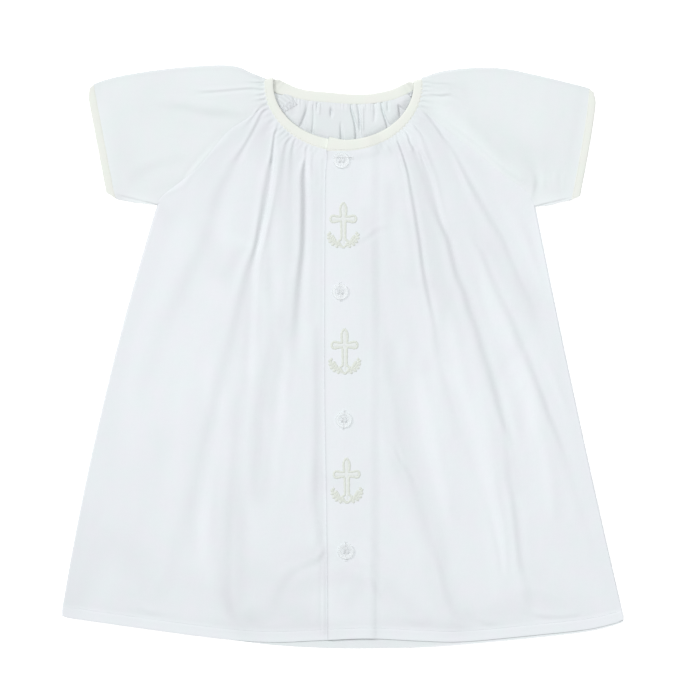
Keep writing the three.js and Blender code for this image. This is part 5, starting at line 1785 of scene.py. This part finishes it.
def make_buttonhole(number, row):
    """A buttonhole: two cords of close stitches beside its slit, with a bar at each end."""
    place = row["x"] + row["right"], row["y"] + row["above"], row["turn"]
    run = np.linspace(-BUTTONHOLE_HALF, BUTTONHOLE_HALF, 60)
    cords = []
    for aside in (-0.62, 0.62):
        cord = laid(paired(aside + 0.04 * np.sin(3 * run), run), place, 0.06)
        cords.append(tube(cord, 0.52 + 0.05 * np.sin(11 * run), 8, 0.45))
    for end in (-BUTTONHOLE_HALF, BUTTONHOLE_HALF):
        bar = laid(paired(np.linspace(-1.1, 1.1, 9), np.full(9, end)), place, 0.1)
        cords.append(tube(bar, 0.42, 8, 0.5))
    name = f"buttonhole_{number}"
    cords = new_thread(name, merged(cords), "White")
    opening = 0.08 + 0.34 * np.maximum(np.cos(1.7 * (run - 1)), 0) ** 4
    # A dark strip along the slit, in painted shade.
    slit = tube(laid(paired(0 * run, 0.95 * run), place, 0.14), opening, 8, 0.3)
    return [cords, new_piece(name + "_slit_shade", slit, "Slit shade", "cotton")]


# One half of the cross ornament's outline, from its top down to the point, about its crossing.
CROSS = path(
    (0, 12.6), (1.5, 10.6), (2.3, 8.0), (2.2, 4.6), (1.9, 2.1), (4.6, 1.9), (7.2, 2.5), (9.1, 2.0),
    (9.9, 0), (9.1, -2.0), (7.2, -2.5), (4.6, -1.9), (1.9, -2.1), (1.6, -6.0), (1.5, -12.0),
    (1.8, -15.6), (4.1, -17.6), (2.2, -20.0), (0, -22.2),
)
# One half of the spray below it: the stem, and its leaves with their root, length and slant.
SPRAY = path((1.5, -20.6), (5.0, -19.4), (8.2, -17.2), (10.0, -14.6), (10.8, -12.2))
LEAVES = table(
    "x y length slant",
    (3.0, -20.0, 2.6, 75), (4.6, -19.6, 3.6, 58), (4.2, -19.8, 2.8, -70), (6.4, -18.5, 3.4, -40),
    (6.8, -18.3, 4.0, 92), (8.4, -17.0, 3.2, -22), (8.6, -16.8, 4.0, 112), (9.8, -15.0, 2.8, 0),
    (9.8, -14.8, 3.4, 130), (10.6, -13.0, 2.4, 28), (10.8, -12.2, 2.6, 100),
)


def leaf_points(leaf, t):
    """A leaf's middle line: straight out from its root at its slant, bent a little to one side."""
    slant = math.radians(leaf["slant"])
    run, bend = leaf["length"] * t, 0.25 * np.sin(np.pi * t)
    x = leaf["x"] + run * math.cos(slant) - bend * math.sin(slant)
    y = leaf["y"] + run * math.sin(slant) + bend * math.cos(slant)
    return paired(x, y)


def make_embroidery(number, row):
    """A cross in double outline on a small arrow, with a leafy spray on either side of its foot.

    Every line is a cord of satin stitch laid along a spline; a leaf is a cord with pointed ends.
    Broad flat cords of paler thread fill the cross and the sprays.
    """
    place = row["x"], row["y"], row["lean"]
    outline, stem = spline(CROSS, np.linspace(0, 1, 150)), spline(SPRAY, np.linspace(0, 1, 30))
    wobble = 1 + 0.12 * np.sin(np.arange(len(outline)) * 0.9 + number)
    t = np.linspace(0, 1, 12)
    leaf_radius = 0.08 + 1.05 * np.sin(np.pi * t) ** 0.8
    cords = []
    for flip in MIRRORED:
        cords.append(tube(laid(outline * flip, place, 0.1), 0.88 * wobble, 8, 0.3))
        cords.append(tube(laid(stem * flip, place, 0.1), 0.75, 6, 0.35))
        for leaf in rows_of(LEAVES):
            line = laid(leaf_points(leaf, t) * flip, place, 0.12)
            cords.append(tube(line, leaf_radius, 8, 0.26))
    t = np.linspace(-1, 1, 60)
    upright = tube(laid(paired(0 * t, 15.2 * t - 4.2), place, 0.04), 1.2 + 0.4 * t, 8, 0.1)
    arms = tube(laid(paired(8.6 * t, 0 * t), place, 0.04), 1.3 + 0.5 * t**2, 8, 0.1)
    stem = spline(SPRAY, np.linspace(0, 1, 40))
    spread = 2.7 * np.sin(np.pi * np.linspace(0.12, 0.9, len(stem))) ** 0.5
    sprays = [tube(laid(stem * flip, place, 0.03), spread, 8, 0.03) for flip in MIRRORED]
    name = f"embroidery_{number}"
    drawn = new_thread(name, merged(cords), "Ecru")
    return [drawn, new_thread(name + "_filling", merged([upright, arms, *sprays]), "Pale")]


def make_hem_stitching(side):
    """The row of machine stitches along the top of a front panel's turned-up hem."""
    start = LAP[-1, 0] + (1 if side is LEFT else 3)
    x = np.linspace(start, side["corner_x"] - 4.5 * side["sign"], 400)
    y = hem_y("front", x) + bpy.context.scene.gown_sizes.hem_depth / MM - STITCH_INSET
    line = np.column_stack([x, y, upper_face(side, x, y) + 0.1])
    return new_thread("hem_stitching_" + side["name"], stitches(line), "White")


# ---- Operators ----------------------------------------------------------------------------------


class GownSizes(PropertyGroup):
    """Sizes that change the cloth's look."""

    cloth: FloatProperty(
        name="Cloth", description="Thickness of one layer", default=0.00045, unit="LENGTH"
    )
    weave: FloatProperty(
        name="Weave", description="Spacing of the threads", default=0.00042, unit="LENGTH"
    )
    hem_depth: FloatProperty(
        name="Hem", description="Depth of the turned-up hem", default=0.0095, unit="LENGTH"
    )
    stitch: FloatProperty(
        name="Stitch", description="Pitch of the machine stitches", default=0.0022, unit="LENGTH"
    )
    button: FloatProperty(
        name="Button", description="Diameter of the buttons", default=0.0124, unit="LENGTH"
    )


class GownColours(PropertyGroup):
    """Colours of the cloth, threads and buttons."""

    cotton: FloatVectorProperty(
        name="Cotton",
        description="Outside of the cloth",
        default=(0.688, 0.716, 0.740),
        subtype="COLOR",
    )
    sleeve: FloatVectorProperty(
        name="Sleeve",
        description="Outside of the sleeves",
        default=(0.680, 0.716, 0.726),
        subtype="COLOR",
    )
    # inside is the cotton made darker: painted shade of the back, which lies under the front.
    inside: FloatVectorProperty(
        name="Inside",
        description="Inside of the cloth",
        default=(0.640, 0.672, 0.684),
        subtype="COLOR",
    )
    binding: FloatVectorProperty(
        name="Binding",
        description="Bias bindings",
        default=(0.700, 0.722, 0.678),
        subtype="COLOR",
    )
    embroidery: FloatVectorProperty(
        name="Embroidery",
        description="Embroidery thread",
        default=(0.622, 0.654, 0.602),
        subtype="COLOR",
    )
    button: FloatVectorProperty(
        name="Button",
        description="Plastic of the buttons",
        default=(0.88, 0.91, 0.92),
        subtype="COLOR",
    )


class GownStage(PropertyGroup):
    """Light and camera."""

    surround: FloatProperty(
        name="Surround", description="Strength of the light all round", default=0.34
    )
    key: FloatProperty(
        name="Key light", description="Strength of the soft light from the left", default=1.45
    )
    overhead: FloatProperty(
        name="Soft box", description="Power of the soft box overhead", default=48.7, unit="POWER"
    )
    distance: FloatProperty(
        name="Camera height", description="Height above the floor", default=2.6, unit="LENGTH"
    )
    view_width: FloatProperty(
        name="View width", description="Width that the camera sees", default=0.539, unit="LENGTH"
    )


# The stage, in metres: both lamps point at the frame's origin.
WHITE = (1.0, 1.0, 1.0, 1.0)
FLOOR = 6  # half the floor's width
KEY_PLACE, KEY_ANGLE = (-1.6, 0.8, 1.65), math.radians(24)
BOX_PLACE, SOFT_BOX = (0.1, 0.55, 2.75), 1.8
CAMERA_PLACE = (0.0062, 0.0058)


class GOWN_OT_stage(Operator):
    """Lay out the pale floor, the soft lights and the camera straight above"""

    bl_idname = "gown.stage"
    bl_label = "Stage"

    def execute(self, context):
        scene, stage = context.scene, context.scene.gown_stage
        scene.view_settings.view_transform = "Standard"
        world = bpy.data.worlds.new("Studio")
        world.use_nodes = True
        tree = world.node_tree
        pale = tree.nodes["Background"]
        pale.inputs[1].default_value = 1.0
        around = tree.nodes.new("ShaderNodeBackground")
        around.inputs[1].default_value = stage.surround
        seen = tree.nodes.new("ShaderNodeLightPath")
        either = tree.nodes.new("ShaderNodeMixShader")
        tree.links.new(seen.outputs["Is Camera Ray"], either.inputs[0])
        for k, background in enumerate((around, pale), 1):
            background.inputs[0].default_value = WHITE
            tree.links.new(background.outputs[0], either.inputs[k])
        tree.links.new(either.outputs[0], tree.nodes["World Output"].inputs[0])
        scene.world = world

        floor = bpy.data.meshes.new("floor")
        corners = [(-FLOOR, -FLOOR, 0), (FLOOR, -FLOOR, 0), (FLOOR, FLOOR, 0), (-FLOOR, FLOOR, 0)]
        floor.from_pydata(corners, [], [(0, 1, 2, 3)])
        paper = Nodes("Pale floor").surface(
            Base_Color=scaled(WHITE, 0.9),
            Roughness=0.9,
            Specular_IOR_Level=0.0,
            Emission_Color=WHITE,
            Emission_Strength=0.3,
        )
        floor.materials.append(paper)
        ground = bpy.data.objects.new("floor", floor)
        scene.collection.objects.link(ground)

        key = bpy.data.lights.new("key", "SUN")
        key.energy, key.angle = stage.key, KEY_ANGLE
        box = bpy.data.lights.new("soft box", "AREA")
        box.shape, box.size, box.energy = "DISK", SOFT_BOX, stage.overhead
        for lamp, place in ((key, KEY_PLACE), (box, BOX_PLACE)):
            light = bpy.data.objects.new(lamp.name, lamp)
            light.location = place
            x, y, z = -unit(np.array(place))
            light.rotation_euler = (math.acos(-z), 0, math.atan2(-x, y))
            scene.collection.objects.link(light)

        camera = bpy.data.cameras.new("camera")
        camera.lens = camera.sensor_width * stage.distance / stage.view_width
        camera.clip_end = 20
        eye = bpy.data.objects.new("camera", camera)
        eye.location = (*CAMERA_PLACE, stage.distance)
        scene.collection.objects.link(eye)
        scene.camera = eye
        return {"FINISHED"}


class GOWN_OT_back(Operator):
    """Make the back panel, gathered at the neck, with the allowances of its raglan seams"""

    bl_idname = "gown.back"
    bl_label = "Back panel"

    def execute(self, context):
        piece = make_back()
        for side in (LEFT, RIGHT):
            strip, thread, length = make_allowance(side)
        return {"FINISHED"}


class GOWN_OT_fronts(Operator):
    """Make both front panels with turned hems, and the buttonholes and embroidery on them"""

    bl_idname = "gown.fronts"
    bl_label = "Front panels"

    def execute(self, context):
        right, left = make_front(RIGHT), make_front(LEFT)
        on_left = [make_hem_stitching(LEFT)]
        for number, place in enumerate(rows_of(BUTTONS), 1):
            on_left += make_buttonhole(number, place)
        for number, place in enumerate(rows_of(MOTIFS), 1):
            on_left += make_embroidery(number, place)
        on_right = [make_hem_stitching(RIGHT)]
        return {"FINISHED"}


class GOWN_OT_sleeves(Operator):
    """Make both raglan sleeves, folded at the top"""

    bl_idname = "gown.sleeves"
    bl_label = "Sleeves"

    def execute(self, context):
        for side in (LEFT, RIGHT):
            make_sleeve(side)
        return {"FINISHED"}


class GOWN_OT_neck_binding(Operator):
    """Make the bias binding round the neck, its ends lapped at the front"""

    bl_idname = "gown.neck_binding"
    bl_label = "Neck binding"

    def execute(self, context):
        hole, seam, out = neck_stations()
        run = length_along(hole)
        # Painted shade on the back of the binding near both shoulders, where it turns down over the
        # fold, in uneven crease-like waves.
        behind = smooth(-0.6, 0.6, -out[:, 2]) * smooth(40, 54, np.abs(hole[:, 0] - 2))
        light = -behind * (0.12 + 0.06 * np.sin(run / 0.9 + 2 * np.sin(run / 2.6)))
        piece, thread, length = make_band("neck_binding", hole, seam, out, BINDING_THICK, light)
        return {"FINISHED"}


class GOWN_OT_cuff_bindings(Operator):
    """Make the bias bindings of the sleeve ends"""

    bl_idname = "gown.cuff_bindings"
    bl_label = "Sleeve bindings"

    def execute(self, context):
        for side in (LEFT, RIGHT):
            piece, thread, length = make_cuff(side)
        return {"FINISHED"}


class GOWN_OT_buttons(Operator):
    """Make the four-hole buttons with their threads"""

    bl_idname = "gown.buttons"
    bl_label = "Buttons"

    def execute(self, context):
        for number, place in enumerate(rows_of(BUTTONS), 1):
            make_button(number, place)
        return {"FINISHED"}


class GOWN_PT_sidebar(Panel):
    """The gown's pieces in the order they are made"""

    bl_idname = "GOWN_PT_sidebar"
    bl_label = "Baby gown"
    bl_space_type = "VIEW_3D"
    bl_region_type = "UI"
    bl_category = "Gown"

    def draw(self, context):
        for group in ("gown_sizes", "gown_colours", "gown_stage"):
            box = self.layout.box()
            for key in getattr(context.scene, group).__annotations__:
                box.prop(getattr(context.scene, group), key)
        for step in STEPS:
            self.layout.operator(step.bl_idname)


STEPS = (
    GOWN_OT_stage,
    GOWN_OT_back,
    GOWN_OT_fronts,
    GOWN_OT_sleeves,
    GOWN_OT_neck_binding,
    GOWN_OT_cuff_bindings,
    GOWN_OT_buttons,
)
GROUPS = {"gown_sizes": GownSizes, "gown_colours": GownColours, "gown_stage": GownStage}


def register():
    """Register the classes and hang the property groups on the scene."""
    for cls in (*GROUPS.values(), *STEPS, GOWN_PT_sidebar):
        bpy.utils.register_class(cls)
    for name, group in GROUPS.items():
        setattr(bpy.types.Scene, name, PointerProperty(type=group))


def unregister():
    """Undo register."""
    for name in GROUPS:
        delattr(bpy.types.Scene, name)
    for cls in reversed((*GROUPS.values(), *STEPS, GOWN_PT_sidebar)):
        bpy.utils.unregister_class(cls)


def main():
    """Make every piece in order."""
    register()
    for step in STEPS:
        category, name = step.bl_idname.split(".")
        getattr(getattr(bpy.ops, category), name)()


if __name__ == "__main__":
    main()
